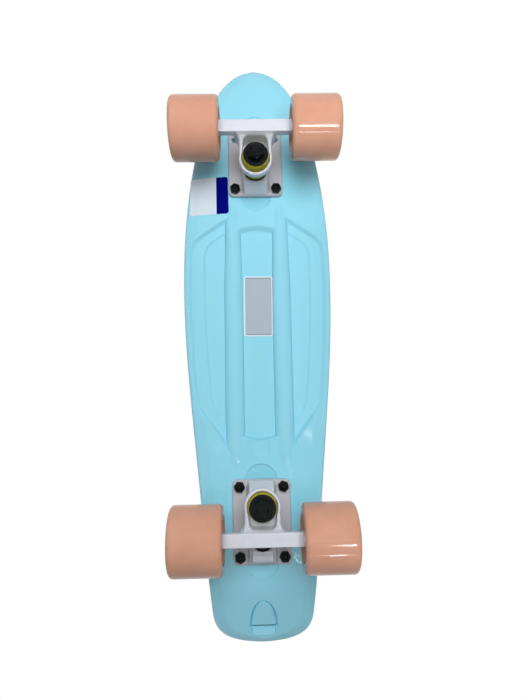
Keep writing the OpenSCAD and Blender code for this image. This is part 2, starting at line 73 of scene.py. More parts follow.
# ---- Numbers repeated from the part's source, in millimetres ------------------------------------
DECK_L, DECK_W, THICK = 582.0, 148.0, 9.5
RIM_RISE, NOSE_RISE, TAIL_ANGLE = 3.0, 6.0, math.radians(18)
RECESS, RIB_PROUD = 5.0, 1.2
NOSE_Y, TAIL_Y = DECK_L / 2, -DECK_L / 2
FRONT_Y, REAR_Y = NOSE_Y - 107.5, TAIL_Y + 116.7
AXLE_H, AXLE_OFFSET, WHEEL_D = 54.0, 5.8, 59.0
PAD_Z = AXLE_H + WHEEL_D / 2
HALF_W = DECK_W / 2
WIDEST_Y = NOSE_Y - 226.5
CORNER_Y, CORNER_W, LEAN = TAIL_Y + 35.7, 48.85, 0.09
NOSE_CURVE = [[0, NOSE_Y], [54, NOSE_Y], [HALF_W, WIDEST_Y + 92.3], [HALF_W, WIDEST_Y]]
SIDE_CURVE = [[HALF_W, WIDEST_Y], [HALF_W, WIDEST_Y - 86.7],
              [CORNER_W + 188 * LEAN, CORNER_Y + 188], [CORNER_W, CORNER_Y]]
TAIL_CURVE = [[CORNER_W, CORNER_Y], [CORNER_W - 16.2 * LEAN, CORNER_Y - 16.2],
              [46.7, TAIL_Y], [0, TAIL_Y]]
NOSE_BEND_Y, KICK_Y, KICK_R = FRONT_Y + 46, REAR_Y - 43, 80.0
KICK_BLEND = KICK_R * math.sin(TAIL_ANGLE)
RIM_BAND, DISH_BAND, DISH_RISE, EDGE_DEPTH = 14.0, 26.0, 2.5, 2.4
EDGE_HALF = (THICK + DISH_RISE - RIM_RISE) / 2
MARGIN, STEP_MARGIN, CORNER = 5.3, 20.1, 9.0
WALL_W, STEP_W = 4.0, 3.2
NOSE_ARC, TAIL_ARC = 0.011, 0.0125
NOSE_ARC_Y, TAIL_ARC_Y = FRONT_Y - 68.0, REAR_Y + 74.2
RIB_X, RIB_CAP = 24.0, 22.0
RIB_NOSE_Y, RIB_TAIL_Y = FRONT_Y - 61, REAR_Y + 65
RIB_H = RECESS + RIB_PROUD
KINGPIN_Y, PIVOT_Y, PIVOT_H, SEAT_H = -19.0, 18.5, 21.0, 40.0
BOSS_H, SEAT_LOW, SEAT_TOP = 20.0, 36.6, 39.6
NOSE_R, NOSE_REACH, CUP_R, CUP_DEPTH = 4.8, 3.0, 7.2, 9.4
HANGER_HALF, PLATE_H = 38.0, 4.5
GRIP_PITCH, GRIP_SIZE, GRIP_H = 7.0, 2.75, 0.7
PATTERN_X, PATTERN_Y, SPARE_IN = 41.3, 63.5, 9.5
# bolt holes and the spare holes of the shorter pattern, as the truck's base plate has them
HOLES = [(sx * PATTERN_X / 2, sy * PATTERN_Y / 2) for sx, sy in product((-1, 1), repeat=2)]
SPARE_HOLES = [(sx * PATTERN_X / 2, PATTERN_Y / 2 - SPARE_IN) for sx in (-1, 1)]
DECK_TOP = PAD_Z + THICK


# ---- Materials ----------------------------------------------------------------------------------
class Nodes:
    """A node tree being built, its owner's old nodes cleared away."""

    def __init__(self, owner):
        owner.use_nodes = True
        self.tree = owner.node_tree
        self.tree.nodes.clear()

    def node(self, kind, **values):
        made = self.tree.nodes.new("ShaderNode" + kind)
        for key, value in values.items():
            if key in made.inputs:
                made.inputs[key].default_value = value
            else:
                setattr(made, key, value)
        return made

    def put(self, value, socket):
        """Links another node's output to the socket, or sets the socket to a plain value."""
        if isinstance(value, bpy.types.NodeSocket):
            self.tree.links.new(value, socket)
        else:
            socket.default_value = value

    def ramp(self, value, low, high, a=0.0, b=1.0):
        """From a, where the value is low, to b, where it is high."""
        limits = {"From Min": low, "From Max": high, "To Min": a, "To Max": b}
        made = self.node("MapRange", **limits)
        self.put(value, made.inputs["Value"])
        return made.outputs[0]

    def mix(self, amount, *colours):
        made = self.node("Mix", data_type="RGBA")
        self.put(amount, made.inputs[0])
        for at, value in zip((6, 7), colours):
            self.put((*value, 1.0) if isinstance(value, tuple) else value, made.inputs[at])
        return made.outputs[2]

    def math(self, operation, *values):
        made = self.node("Math", operation=operation)
        for at, value in enumerate(values):
            self.put(value, made.inputs[at])
        return made.outputs[0]


class Shader(Nodes):
    """A material round one Principled shader, its patterns fixed to the piece's own place."""

    def __init__(self, name, **values):
        self.name, self.mat = name, bpy.data.materials.new(name)
        self.tone = self.normal = None
        super().__init__(self.mat)
        self.out = self.node("OutputMaterial").inputs["Surface"]
        named = {key.replace("_", " "): value for key, value in values.items()}
        self.shader = self.node("BsdfPrincipled", **named)
        self.put(self.shader.outputs[0], self.out)
        self.place = self.node("TexCoord").outputs["Object"]

    def placed(self, kind, **values):
        made = self.node(kind, **values)
        self.put(self.place, made.inputs[0])
        return made.outputs

    def noise(self, scale, detail=3.0, rough=0.55, stretch=None):
        made = self.node("TexNoise", Scale=scale, Detail=detail, Roughness=rough)
        place = self.placed("Mapping", Scale=stretch)[0] if stretch else self.place
        self.put(place, made.inputs["Vector"])
        return made.outputs["Fac"]

    def colour(self, value):
        self.tone = value
        self.put(value, self.shader.inputs["Base Color"])

    def layer(self, amount, colour):
        """Another colour over the present one, where amount says."""
        self.colour(self.mix(amount, self.tone, colour))

    def bump(self, height, distance, strength):
        """Bumps on top of those made before."""
        made = self.node("Bump", Strength=strength, Distance=distance)
        self.put(height, made.inputs["Height"])
        if self.normal is not None:
            self.put(self.normal, made.inputs["Normal"])
        self.normal = made.outputs[0]
        self.put(self.normal, self.shader.inputs["Normal"])

    def specks(self, scale, threshold, amount, colour):
        """Small round spots of a colour, where a random cell picks them."""
        cells = self.placed("TexVoronoi", Scale=scale)
        chosen = self.ramp(cells["Color"], threshold, threshold + 0.005)
        spot = self.ramp(cells["Distance"], 0.18, 0.16)
        self.layer(self.math("MULTIPLY", self.math("MULTIPLY", chosen, spot), amount), colour)


def look(name, tone, rough, bump, **values):
    """A shader whose tone, roughness and bump each follow a noise of their own.

    tone: noise, ramp limits, dark and light colour; rough: noise, ramp limits with the lowest
    and highest roughness, or None; bump: noise, distance in metres, strength.
    """
    s = Shader(name, **values)
    pattern, *limits, dark, light = tone
    s.colour(s.mix(s.ramp(s.noise(*pattern), *limits), dark, light))
    if rough:
        pattern, *limits = rough
        s.put(s.ramp(s.noise(*pattern), *limits), s.shader.inputs["Roughness"])
    pattern, *depth = bump
    s.bump(s.noise(*pattern), *depth)
    return s


def near_trucks(s):
    """1 beside the base plates, fading to 0 a little way out."""
    x, y, _ = s.placed("SeparateXYZ")
    across = s.math("SUBTRACT", s.math("ABSOLUTE", x), 0.028)
    away = []
    for middle in (FRONT_Y, REAR_Y):
        along = s.math("ABSOLUTE", s.math("SUBTRACT", y, middle * MM))
        away.append(s.math("MAXIMUM", across, s.math("SUBTRACT", along, 0.040)))
    return s.ramp(s.math("MINIMUM", *away), 0.004, 0.016, 1.0, 0.0)


def deck_look():
    s = look("deck_plastic", ((9.0, 2.0, 0.5, (1.0, 0.35, 1.0)), 0.35, 0.65,
                              (0.245, 0.640, 0.790), (0.275, 0.670, 0.825)),
             ((160.0, 4.0, 0.7, (1.0, 0.12, 1.0)), 0.4, 0.85, 0.05, 0.12),
             ((140.0, 1.5), 0.00003, 0.4))
    s.layer(s.ramp(s.noise(900.0, 2.0), 0.45, 0.75, 0.0, 0.25), (0.235, 0.620, 0.775))
    s.specks(62.0, 0.986, 0.55, (0.10, 0.16, 0.18))
    s.bump(s.noise(26.0, 1.0), 0.0002, 0.3)
    # the moulding is rougher round the truck pads
    s.bump(s.math("MULTIPLY", s.noise(330.0, 2.0, 0.5), near_trucks(s)), 0.0005, 0.7)
    return s


def truck_look():
    s = look("truck_paint", ((120.0,), 0.3, 0.7, (0.595, 0.62, 0.68), (0.63, 0.655, 0.72)),
             ((700.0, 2.0), 0.3, 0.7, 0.34, 0.5), ((1500.0, 2.0), 0.00008, 0.5),
             Specular_IOR_Level=0.45)
    s.layer(s.ramp(s.noise(420.0, 5.0, 0.65), 0.58, 0.78, 0.0, 0.4), (0.50, 0.51, 0.55))
    # painted shade: the flat of the base plates is painted darker than the rest of the casting,
    # standing in for shade under the hanger and wheels
    height = s.placed("SeparateXYZ")["Z"]
    s.layer(s.ramp(height, 0.0765, 0.0785, 0.0, 0.85), (0.44, 0.435, 0.47))
    s.bump(s.noise(230.0, 2.0), 0.00022, 0.5)
    return s


def wheel_look():
    s = look("wheel_urethane", ((38.0, 3.0, 0.6), 0.35, 0.68,
                                (0.585, 0.284, 0.186), (0.625, 0.318, 0.214)),
             ((90.0, 4.0, 0.65), 0.35, 0.8, 0.06, 0.14), ((420.0,), 0.00006, 0.5),
             Specular_IOR_Level=0.32)
    s.layer(s.ramp(s.noise(300.0, 5.0, 0.7), 0.62, 0.82, 0.0, 0.15), (0.54, 0.262, 0.172))
    s.specks(95.0, 0.994, 0.6, (0.16, 0.08, 0.05))
    return s


def paper(name, dark, light, rough, shine=0.3):
    return look(name, ((1100.0,), 0.3, 0.7, dark, light),
                ((240.0,), 0.3, 0.7, rough, rough + 0.15), ((160.0, 2.0), 0.0001, 0.4),
                Specular_IOR_Level=shine)


MATERIALS = {s.name: s.mat for s in (
    deck_look(), truck_look(), wheel_look(),
    look("bushing_urethane", ((210.0, 2.0), 0.3, 0.7, (0.36, 0.305, 0.001), (0.43, 0.37, 0.002)),
         ((500.0,), 0.3, 0.7, 0.25, 0.42), ((900.0, 2.0), 0.00005, 0.5), Specular_IOR_Level=0.06),
    look("black_hardware", ((650.0, 5.0, 0.7), 0.62, 0.82, 0.0, 0.5,
                            (0.0045, 0.0055, 0.006), (0.03, 0.03, 0.028)),
         ((380.0, 4.0), 0.3, 0.72, 0.10, 0.26), ((1300.0, 2.0), 0.00005, 0.5),
         Specular_IOR_Level=0.12),
    look("black_urethane", ((500.0,), 0.3, 0.7, (0.006, 0.006, 0.007), (0.013, 0.013, 0.014)),
         ((700.0,), 0.3, 0.7, 0.45, 0.65), ((1100.0,), 0.00008, 0.6), Specular_IOR_Level=0.1),
    look("bright_steel", ((260.0, 4.0), 0.3, 0.75, (0.56, 0.57, 0.58), (0.68, 0.685, 0.69)),
         ((900.0, 3.0, 0.6, (1.0, 4.0, 4.0)), 0.3, 0.7, 0.2, 0.38),
         ((1600.0, 2.0, 0.6, (0.4, 3.0, 3.0)), 0.00003, 0.5), Metallic=1.0),
    paper("tag_paper", (0.58, 0.68, 0.76), (0.62, 0.72, 0.80), 0.45),
    paper("tag_navy", (0.0005, 0.001, 0.15), (0.001, 0.002, 0.19), 0.4, 0.04),
    paper("label_film", (0.36, 0.42, 0.48), (0.42, 0.48, 0.54), 0.35),
    paper("label_edge", (0.64, 0.72, 0.80), (0.69, 0.77, 0.85), 0.35),
    paper("label_ink", (0.16, 0.19, 0.22), (0.22, 0.25, 0.28), 0.4))}

node_body = {node: body for body, held in frame["record"]["behaviour"]["bodies"].items()
             for node in held}
node_slot = {row["node"]: row["material_slot"] for row in frame["record"]["subparts"]}
for node_name, cad in frame["nodes"].items():
    cad.data.materials.clear()
    cad.data.materials.append(MATERIALS[node_slot[node_name]])


# ---- Mesh helpers -------------------------------------------------------------------------------
def new_mesh(name, points, faces, materials, sharp=35.0, normals=None):
    """A smooth object from points in millimetres, creased past the sharp angle."""
    mesh = bpy.data.meshes.new(name)
    mesh.from_pydata((np.asarray(points, float) * MM).tolist(), [],
                     faces if isinstance(faces, list) else faces.tolist())
    for material in materials:
        mesh.materials.append(material)
    mesh.polygons.foreach_set("use_smooth", np.ones(len(mesh.polygons), bool))
    if normals is None:
        mesh.set_sharp_from_angle(angle=math.radians(sharp))
    else:
        mesh.normals_split_custom_set_from_vertices(np.asarray(normals, float).tolist())
    mesh.update()
    made = bpy.data.objects.new(name, mesh)
    bpy.context.collection.objects.link(made)
    return made


def stand_in(made, node, bends=None):
    """made takes a CAD node's place, riding on the node's body unless bends are given; the CAD node
    is hidden.

    bends: points given for a soft piece; with them the piece stays fixed where it stands, on no
    body, and does not bend.
    """
    if bends is None:
        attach(made, node_body[node])
    else:
        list(bends)
        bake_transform(made)
    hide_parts(node)


def detail(node, points, faces, sharp, bends=None):
    """A finer piece in place of a CAD node."""
    made = new_mesh(f"{node}_detail", points, faces, [MATERIALS[node_slot[node]]], sharp)
    stand_in(made, node, bends)


def grid_faces(rows, columns, wrap_rows=False, wrap_columns=False):
    a = np.arange(rows if wrap_rows else rows - 1)[:, None]
    b = np.arange(columns if wrap_columns else columns - 1)[None, :]
    c, d = (a + 1) % rows, (b + 1) % columns
    quads = np.stack([a * columns + b, a * columns + d, c * columns + d, c * columns + b], -1)
    return quads.reshape(-1, 4)


def round_angles(segments):
    return np.linspace(0, 2 * math.pi, segments, endpoint=False)


def arc(cx, cy, r, start, end, steps=5):
    """Points along a circle's arc, angles in degrees."""
    return [(cx + r * math.cos(math.radians(a)), cy + r * math.sin(math.radians(a)))
            for a in np.linspace(start, end, steps + 1)]


def rounded(profile, radius):
    """A closed profile with its sharp corners eased by a short curve."""
    made, here = [], np.array(profile, float)
    for before, at, after in zip(np.roll(here, 1, 0), here, np.roll(here, -1, 0)):
        a, b = before - at, after - at
        la, lb = math.hypot(*a), math.hypot(*b)
        if a @ b < -0.866 * la * lb:        # flatter than 150 degrees
            made.append(at)
            continue
        cut = min(radius, la * 0.4, lb * 0.4)
        p, q = at + a / la * cut, at + b / lb * cut
        made += [p, p / 4 + at / 2 + q / 4, q]
    return made


def lathe(profile, segments=96, base=0.0):
    """A closed ring surface about +Z from (radius, height above base) pairs.

    Each radius or height is one number, or an array of them round the axis.
    """
    radius, height = (np.array([np.ones(segments) * row[k] for row in profile]) for k in (0, 1))
    angle = round_angles(segments)
    points = np.stack([radius * np.cos(angle), radius * np.sin(angle), base + height], -1)
    faces = grid_faces(len(profile), segments, wrap_rows=True, wrap_columns=True)
    return points.reshape(-1, 3), faces


def joined(*parts):
    points, faces, count = [], [], 0
    for held, held_faces in parts:
        points.append(held)
        faces += [[int(at) + count for at in face] for face in held_faces]
        count += len(held)
    return np.concatenate(points), faces


def moved(part, shift=(0, 0, 0), turn=0.0, flip=False):
    """A copy of points and faces turned about +Z, flipped end for end if asked, then shifted."""
    points, faces = np.asarray(part[0], float), part[1]
    c, s = math.cos(math.radians(turn)), math.sin(math.radians(turn))
    x, y, z = points.T
    x, y = c * x - s * y, s * x + c * y
    if flip:
        y, z = -y, -z
    return np.stack([x, y, z], -1) + np.array(shift, float), faces


def truck_to_world(points, front):
    """Truck frame (deck down, +Y to the pivot) to the board's frame."""
    x, y, h = np.asarray(points, float).T
    side, middle = (-1, FRONT_Y) if front else (1, REAR_Y)
    return np.stack([side * x, middle - side * y, PAD_Z - h], -1)


def wheel_to_world(points, front, left):
    """A part drawn along +Z moves onto the axle, pointing outwards on its side."""
    x, y, z = np.asarray(points, float).T
    side = -1 if left else 1
    middle = FRONT_Y + AXLE_OFFSET if front else REAR_Y - AXLE_OFFSET
    return np.stack([side * z, middle + y, WHEEL_D / 2 - side * x], -1)


# ---- Deck: the source's height functions, sampled finely ----------------------------------------
WALL_EASE, RIM_EASE = 0.3, 0.12     # shares of a wall and of the rim that are rounded


def bezier(p, t):
    """Places and slopes along a cubic curve."""
    p, t = np.array(p, float), np.asarray(t)[..., None]
    s = 1 - t
    place = s ** 3 * p[0] + 3 * s * s * t * p[1] + 3 * s * t * t * p[2] + t ** 3 * p[3]
    return place, 3 * (s * s * (p[1] - p[0]) + 2 * s * t * (p[2] - p[1]) + t * t * (p[3] - p[2]))


TABLE_T = np.linspace(0, 1, 6001)
CURVES = [(c, bezier(c, TABLE_T)[0][:, 1]) for c in (NOSE_CURVE, SIDE_CURVE, TAIL_CURVE)]


def outline(y):
    """Half width at y, and how much longer a step across is than a step square to the edge."""
    y = np.asarray(y, float)
    width, stretch = np.zeros_like(y), np.ones_like(y)
    picks = (y > WIDEST_Y, (y <= WIDEST_Y) & (y > CORNER_Y), y <= CORNER_Y)
    for (curve, table), pick in zip(CURVES, picks):
        if pick.any():
            place, slope = bezier(curve, np.interp(-y[pick], -table, TABLE_T))
            dx, dy = np.abs(slope.T)
            width[pick] = place[:, 0]
            stretch[pick] = np.hypot(dx, dy) / np.maximum(dy, 0.01)
    return width, stretch


def from_edge(x, y):
    """Distance in from the outline, square to it, and how far x is from the centre line."""
    w, stretch = outline(y)
    x = np.minimum(np.abs(x), w)
    return (w - x) / stretch, x


def smooth(t):
    c = np.clip(t, 0, 1)
    return c * c * (3 - 2 * c)


def smooth_min(a, b, r):
    """The lower of two heights, or two fields' union, with a fillet of about r."""
    h = np.maximum(r - np.abs(a - b), 0) / r
    return np.minimum(a, b) - h * h * r / 4


def smooth_max(a, b, r):
    """The higher of two heights, or where two fields overlap, with edges rounded by about r."""
    return -smooth_min(-a, -b, r)


def wall(t):
    """A straight slope from 0 to 1 with rounded top and foot."""
    return np.maximum(smooth_max(smooth_min(t, 1.0, WALL_EASE), 0.0 * t, WALL_EASE), 0)


def long_rise(y):
    """The nose's bend and the kicktail, a bend and then a straight slope."""
    past = KICK_Y - np.asarray(y, float)
    nose = NOSE_RISE * (np.maximum(y - NOSE_BEND_Y, 0) / (NOSE_Y - NOSE_BEND_Y)) ** 2
    bent = KICK_R - np.sqrt(np.maximum(KICK_R ** 2 - np.clip(past, 0, KICK_BLEND) ** 2, 0))
    return nose + bent + np.maximum(past - KICK_BLEND, 0) * math.tan(TAIL_ANGLE)


def rounding(e):
    t = np.clip(1 - e / EDGE_DEPTH, 0, 1)
    return EDGE_HALF * (1 - np.sqrt(np.maximum(1 - t * t, 0)))


def rim_rise(e):
    """The rim's rise towards the edge, with the bend at its foot rounded."""
    t = np.maximum(1 - e / RIM_BAND, 0)
    return RIM_RISE * np.where(t > 2 * RIM_EASE, t - RIM_EASE, t ** 2 / (4 * RIM_EASE))


def rib_half(y):
    """Half width of a rib, a little wider towards the tail."""
    return 8 + 1.4 * smooth((FRONT_Y - 70 - y) / 75)


def under_z(x, y):
    """Height of the underside above the truck pads."""
    e, x = from_edge(x, y)
    # distances in from the recess's slanted nose end and from its curved tail end
    nose = (FRONT_Y - 78.9 + (59 - x) * 0.69 - y) / math.hypot(1, 0.69)
    u = 54 - x
    tail = (y - REAR_Y - 97.1 + 1.113 * u + 0.013 * u * u) / np.hypot(1, 1.113 + 0.026 * u)
    inside = smooth_min(e - MARGIN, np.minimum(nose, tail), CORNER)
    step = smooth_min(e - STEP_MARGIN, np.minimum(nose - 11.3, tail - 10.3), CORNER)
    outer = 0.72 * wall((inside - 0.1) / (WALL_W - 0.8)) + 0.4 * wall((step - 0.2) / (STEP_W - 1.3))
    middle = np.minimum(wall((NOSE_ARC_Y - NOSE_ARC * x * x - y) / 5),
                        wall((y - TAIL_ARC_Y - TAIL_ARC * x * x) / 3))
    cut = RECESS * np.where(x < RIB_X, middle, outer)
    over = np.maximum(np.maximum(y - RIB_NOSE_Y, RIB_TAIL_Y - y), 0) / RIB_CAP
    dome = 1 - over ** 2 - ((x - RIB_X) / rib_half(y)) ** 2
    rib = RIB_H * np.sqrt(np.maximum(dome, 0)) - RECESS
    return long_rise(y) + rounding(e) + smooth_min(rim_rise(e) + cut, -rib, 0.9)


def grip_floor_z(x, y):
    """The top between the grip's pads, which stand up to the deck's full height."""
    e, _ = from_edge(x, y)
    dish = DISH_RISE * smooth(1 - (e - EDGE_DEPTH) / DISH_BAND)
    return long_rise(y) + THICK + dish - rounding(e) - GRIP_H * smooth((e - 8.5) / 2.5)


# distances in from a tip, and from the outline: close at the rounded edge and at both walls
TIP_STEPS = [0.02, 0.12, 0.35, 0.75, 1.3, 2.0, 2.9, 4.0, 5.2, 6.5]
EDGE_STEPS = np.array([0, 0.05, 0.18, 0.42, 0.75, 1.2, 1.75, 2.4, 3.6])
WALL_STEPS = np.array([4.6, 5.1, 5.5, 5.9, 6.3, 6.7, 7.1, 7.5, 7.9, 8.4, 9.2, 10.4, 11.8, 13.2,
                       14.6, 16.0, 17.4, 18.8, 19.9, 20.4, 20.8, 21.2, 21.6, 22.0, 22.5, 23.2])
# distances from a rib's edge, inwards
RIB_STEPS = np.array([-0.9, -0.45, -0.2, 0.0, 0.15, 0.35, 0.7, 1.3, 2.2])
# where each span along the board starts, and its step: close where walls run out
SPANS = [(NOSE_Y - 8, 2.4), (FRONT_Y + 10, 2.6), (FRONT_Y - 26, 1.15), (FRONT_Y - 118, 3.2),
         (REAR_Y + 128, 1.15), (REAR_Y + 40, 2.6), (KICK_Y, 2.4), (TAIL_Y + 8, None)]


def stations():
    """Places along the board, from nose to tail."""
    made = [NOSE_Y - d for d in TIP_STEPS]
    for (start, step), (end, _) in zip(SPANS, SPANS[1:]):
        made += list(np.linspace(start, end, round((start - end) / step), endpoint=False))
    return np.array(made + [TAIL_Y + d for d in [8] + TIP_STEPS[::-1]])


def rib_columns(y, limit):
    """Places from the centre line out to limit, close where the rib meets the floor."""
    left, right = RIB_X - rib_half(y) + RIB_STEPS, RIB_X + rib_half(y) - RIB_STEPS[::-1]
    made = np.concatenate([np.linspace(0, left[0], 12, endpoint=False), left,
                           np.linspace(left[-1], right[0], 10)[1:-1], right])
    made = made * min(1.0, limit / 36)
    return np.concatenate([made, np.linspace(made[-1], limit, 14)[1:-1]])


def across(w, stretch, steps, inner):
    """Places across the board at one station, from -X to +X, the same number at each."""
    edge = w - steps * min(stretch, w / (1.5 * steps[-1]))
    half = np.concatenate([inner(edge[-1]), edge[::-1]])
    return np.concatenate([-half[:0:-1], half])


def deck_shell():
    """The whole moulding, without slots and holes, as one ring at each station."""
    ys = stations()
    rings = []
    for y, w, stretch in zip(ys, *outline(ys)):
        low = across(w, stretch, np.concatenate([EDGE_STEPS, WALL_STEPS]),
                     lambda limit: rib_columns(y, limit))
        high = across(w, stretch, EDGE_STEPS,
                      lambda limit: np.linspace(0, limit, 20, endpoint=False))[-2:0:-1]
        rings.append(np.concatenate([
            np.stack([x, 0 * x + y, PAD_Z + height(x, 0 * x + y)], -1)
            for x, height in ((low, under_z), (high, grip_floor_z))]))
    size, points = len(rings[0]), np.concatenate(rings)
    faces = grid_faces(len(ys), size, wrap_columns=True).tolist()
    tips = [[0, y, PAD_Z + float(long_rise(y)) + RIM_RISE + EDGE_HALF] for y in (NOSE_Y, TAIL_Y)]
    for at, start, order in ((0, 0, -1), (1, (len(ys) - 1) * size, 1)):
        for j in range(size):
            pair = [start + j, start + (j + 1) % size]
            faces.append([len(points) + at, *pair[::order]])
    points = np.concatenate([points, tips])
    points[:, 2] = np.minimum(points[:, 2], cad_box[1][2] / MM)
    return points, faces


def stack(section, depths):
    """A closed solid from one outline drawn at several offsets and heights: [(offset, z), ...]."""
    rings = [section(offset, z) for offset, z in depths]
    size = len(rings[0])
    faces = grid_faces(len(rings), size, wrap_columns=True).tolist()
    faces.append(list(range(size))[::-1])
    faces.append([(len(rings) - 1) * size + j for j in range(size)])
    return np.concatenate(rings), faces


def flared(depth, lip):
    """Offsets of a cutter that leaves a rounded lip where it meets the surface at z = 0."""
    made, deep = [(lip, -4.0), (lip, -0.001)], min(lip, depth * 0.55)
    made += [(lip * (1 - math.sin(a)), deep * (1 - math.cos(a)))
             for a in np.linspace(0, math.pi / 2, 6)[1:]]
    foot = min(0.35, depth * 0.3)
    return made + [(0.0, depth - foot), (-foot * 0.3, depth - foot * 0.3), (-foot, depth)]


def obround(x, y, half_run, radius, z, segments=72):
    """Outline function of a round-ended slot along Y; half_run 0 is a circle."""
    angle = round_angles(segments)
    shift = np.where(np.sin(angle) >= 0, half_run, -half_run)

    def section(offset, height):
        r = radius + offset
        return np.stack([x + r * np.cos(angle), y + shift + r * np.sin(angle),
                         np.full(segments, z + height)], -1)
    return section


def turned_solids(places, profile):
    """Closed solids about vertical lines, from (radius, z) pairs, bottom first."""
    return [stack(obround(x, y, 0, 0, 0, 40), profile) for x, y in places]


ARCH_Y, ARCH_L, ARCH_HALF = REAR_Y - 99.0, 26.4, 13.2
STEP_L, STEP_HALF = 8.8, 11.2


def tail_tip(points):
    """From a flat frame at the scoop's foot to the tail's slope."""
    c, s = math.cos(TAIL_ANGLE), math.sin(TAIL_ANGLE)
    x, y, z = points.T
    base = PAD_Z + float(long_rise(ARCH_Y))
    return np.stack([x, ARCH_Y + y * c + z * s, base - y * s + z * c], -1)


def arch_section(offset, height):
    """The arch-shaped scoop, drawn square to the tail's slope and tipped with it."""
    angle = np.radians(np.linspace(-90, 90, 41))
    x, y = (ARCH_HALF + offset) * np.sin(angle), (ARCH_L + offset) * np.cos(angle)
    x = np.concatenate([x, [x[-1], x[0]]])
    y = np.concatenate([y, [-1.5 - offset, -1.5 - offset]])
    return tail_tip(np.stack([x, y, np.full(len(x), height)], -1)[::-1])


def step_section(offset, height):
    """The finger step: its floor is level, so it is deepest at the scoop's foot."""
    t = np.linspace(-1, 1, 25)
    half, foot = STEP_HALF + offset, 0.3
    low = np.column_stack([t * half, -STEP_L - offset - 1.6 * (1 - t * t)])
    ring = np.concatenate([low, [[half, foot], [-half, foot]]])
    made = tail_tip(np.column_stack([ring, np.zeros(len(ring))]))
    made[:, 2] = tail_tip(np.array([[0.0, -STEP_L, 0.0]]))[0, 2] + height
    return made


BOLTS = [(x, y + middle) for middle in (FRONT_Y, REAR_Y) for x, y in HOLES]
SPARES = [(x, middle + side * y) for middle, side in ((FRONT_Y, 1), (REAR_Y, -1))
          for x, y in SPARE_HOLES]


def deck_cuts():
    slots = [stack(obround(0, y, half_run, r, PAD_Z), flared(depth, lip))
             for y, half_run, r, depth, lip in (
                 (FRONT_Y - 0.9, 36.0, 15, 1.0, 0.8), (REAR_Y - 0.5, 37.5, 15, 1.0, 0.8),
                 (REAR_Y + 70.0, 3.6, 8.6, 0.6, 0.5))]
    scoop = stack(arch_section, flared(1.9, 0.5)[:-1] + [(-0.1, 3.6), (-1.0, 3.6), (-1.3, 1.9),
                                                         (-2.4, 0.7)])
    bolts = turned_solids(BOLTS, [
        (2.7, PAD_Z - 6), (2.7, DECK_TOP - 2.6), (5.1, DECK_TOP - 0.05), (5.35, DECK_TOP + 0.02),
        (5.35, DECK_TOP + 4)])
    spares = turned_solids(SPARES, [(2.6, PAD_Z - 3), (2.6, PAD_Z + 6.8), (1.6, PAD_Z + 7.4)])
    return joined(*slots, scoop, *bolts, *spares)


# rows and columns of the grip either way, and how far it keeps from edge, tips and bolts
GRIP_ROWS, GRIP_SIDE, GRIP_EDGE, GRIP_TIP, GRIP_BOLT = 42, 11, 14.5, 15, 11.5
# half width and lift of a grip pad's foot, shoulder and top, and its corners
PAD_RINGS = ((GRIP_SIZE, -0.6), (GRIP_SIZE, GRIP_H - 0.3), (GRIP_SIZE - 0.3, GRIP_H))
SQUARE_X, SQUARE_Y = np.array([-1, 1, 1, -1]), np.array([-1, -1, 1, 1])
PAD_FACES = grid_faces(3, 4, wrap_columns=True).tolist() + [[3, 2, 1, 0], [8, 9, 10, 11]]


def grip_pads():
    """Raised square pads of the foot grip, with bevelled tops, each sunk a little in the deck."""
    made = []
    for row, column in product(range(-GRIP_ROWS, GRIP_ROWS + 1), range(-GRIP_SIDE, GRIP_SIDE + 1)):
        x, y = column * GRIP_PITCH, row * GRIP_PITCH
        edge, bolt = from_edge(x, np.array([y]))[0][0], min(math.dist((x, y), b) for b in BOLTS)
        if edge >= GRIP_EDGE and abs(y) <= NOSE_Y - GRIP_TIP and bolt >= GRIP_BOLT:
            rings = []
            for half, lift in PAD_RINGS:
                px, py = x + half * SQUARE_X, y + half * SQUARE_Y
                rings.append(np.stack([px, py, PAD_Z + grip_floor_z(px, py) + lift], -1))
            made.append((np.concatenate(rings), PAD_FACES))
    return joined(*made, *turned_solids(BOLTS, [
        (7.6, DECK_TOP - 1.6), (7.6, DECK_TOP - 0.3), (7.3, DECK_TOP - 0.02)]))


def combine(target, tool, operation):
    """Applies a boolean with the fast manifold solver and drops the tool."""
    tool = new_mesh("tool", *tool, [])
    change = target.modifiers.new("combine", "BOOLEAN")
    change.operation, change.solver, change.object = operation, "MANIFOLD", tool
    graph = bpy.context.evaluated_depsgraph_get()
    made = bpy.data.meshes.new_from_object(target.evaluated_get(graph))
    target.modifiers.clear()
    target.data = made
    bpy.data.objects.remove(tool)


def read(items, key, width, kind=np.float32):
    """One value of every item, in rows of width."""
    made = np.empty(len(items) * width, kind)
    items.foreach_get(key, made)
    return made.reshape(-1, width)


def deck_normals(mesh):
    """Smooth normals from the height functions, wherever the mesh follows them."""
    mesh.set_sharp_from_angle(angle=math.radians(32))
    loops = read(mesh.corner_normals, "vector", 3)
    vertex = read(mesh.loops, "vertex_index", 1, np.int32)[:, 0]
    x, y, z = read(mesh.vertices, "co", 3).astype(float).T / MM
    flat = np.repeat(read(mesh.polygons, "normal", 3),
                     read(mesh.polygons, "loop_total", 1, np.int32)[:, 0], axis=0)
    h = 0.12                            # step for the slopes
    for height, sign in ((under_z, -1.0), (grip_floor_z, 1.0)):
        inside = outline(y)[0] - np.abs(x) > 0.4
        near = np.abs(z - PAD_Z - height(x, y)) < 0.02
        dx = (height(x + h, y) - height(x - h, y)) / (2 * h)
        dy = (height(x, y + h) - height(x, y - h)) / (2 * h)
        true = np.stack([-dx, -dy, np.ones_like(dx)], -1) * sign
        true = (true / np.linalg.norm(true, axis=1)[:, None])[vertex]
        use = (inside & near)[vertex] & ((flat * true).sum(1) > 0.8)
        loops[use] = true[use]
    mesh.normals_split_custom_set(loops.astype(float).tolist())


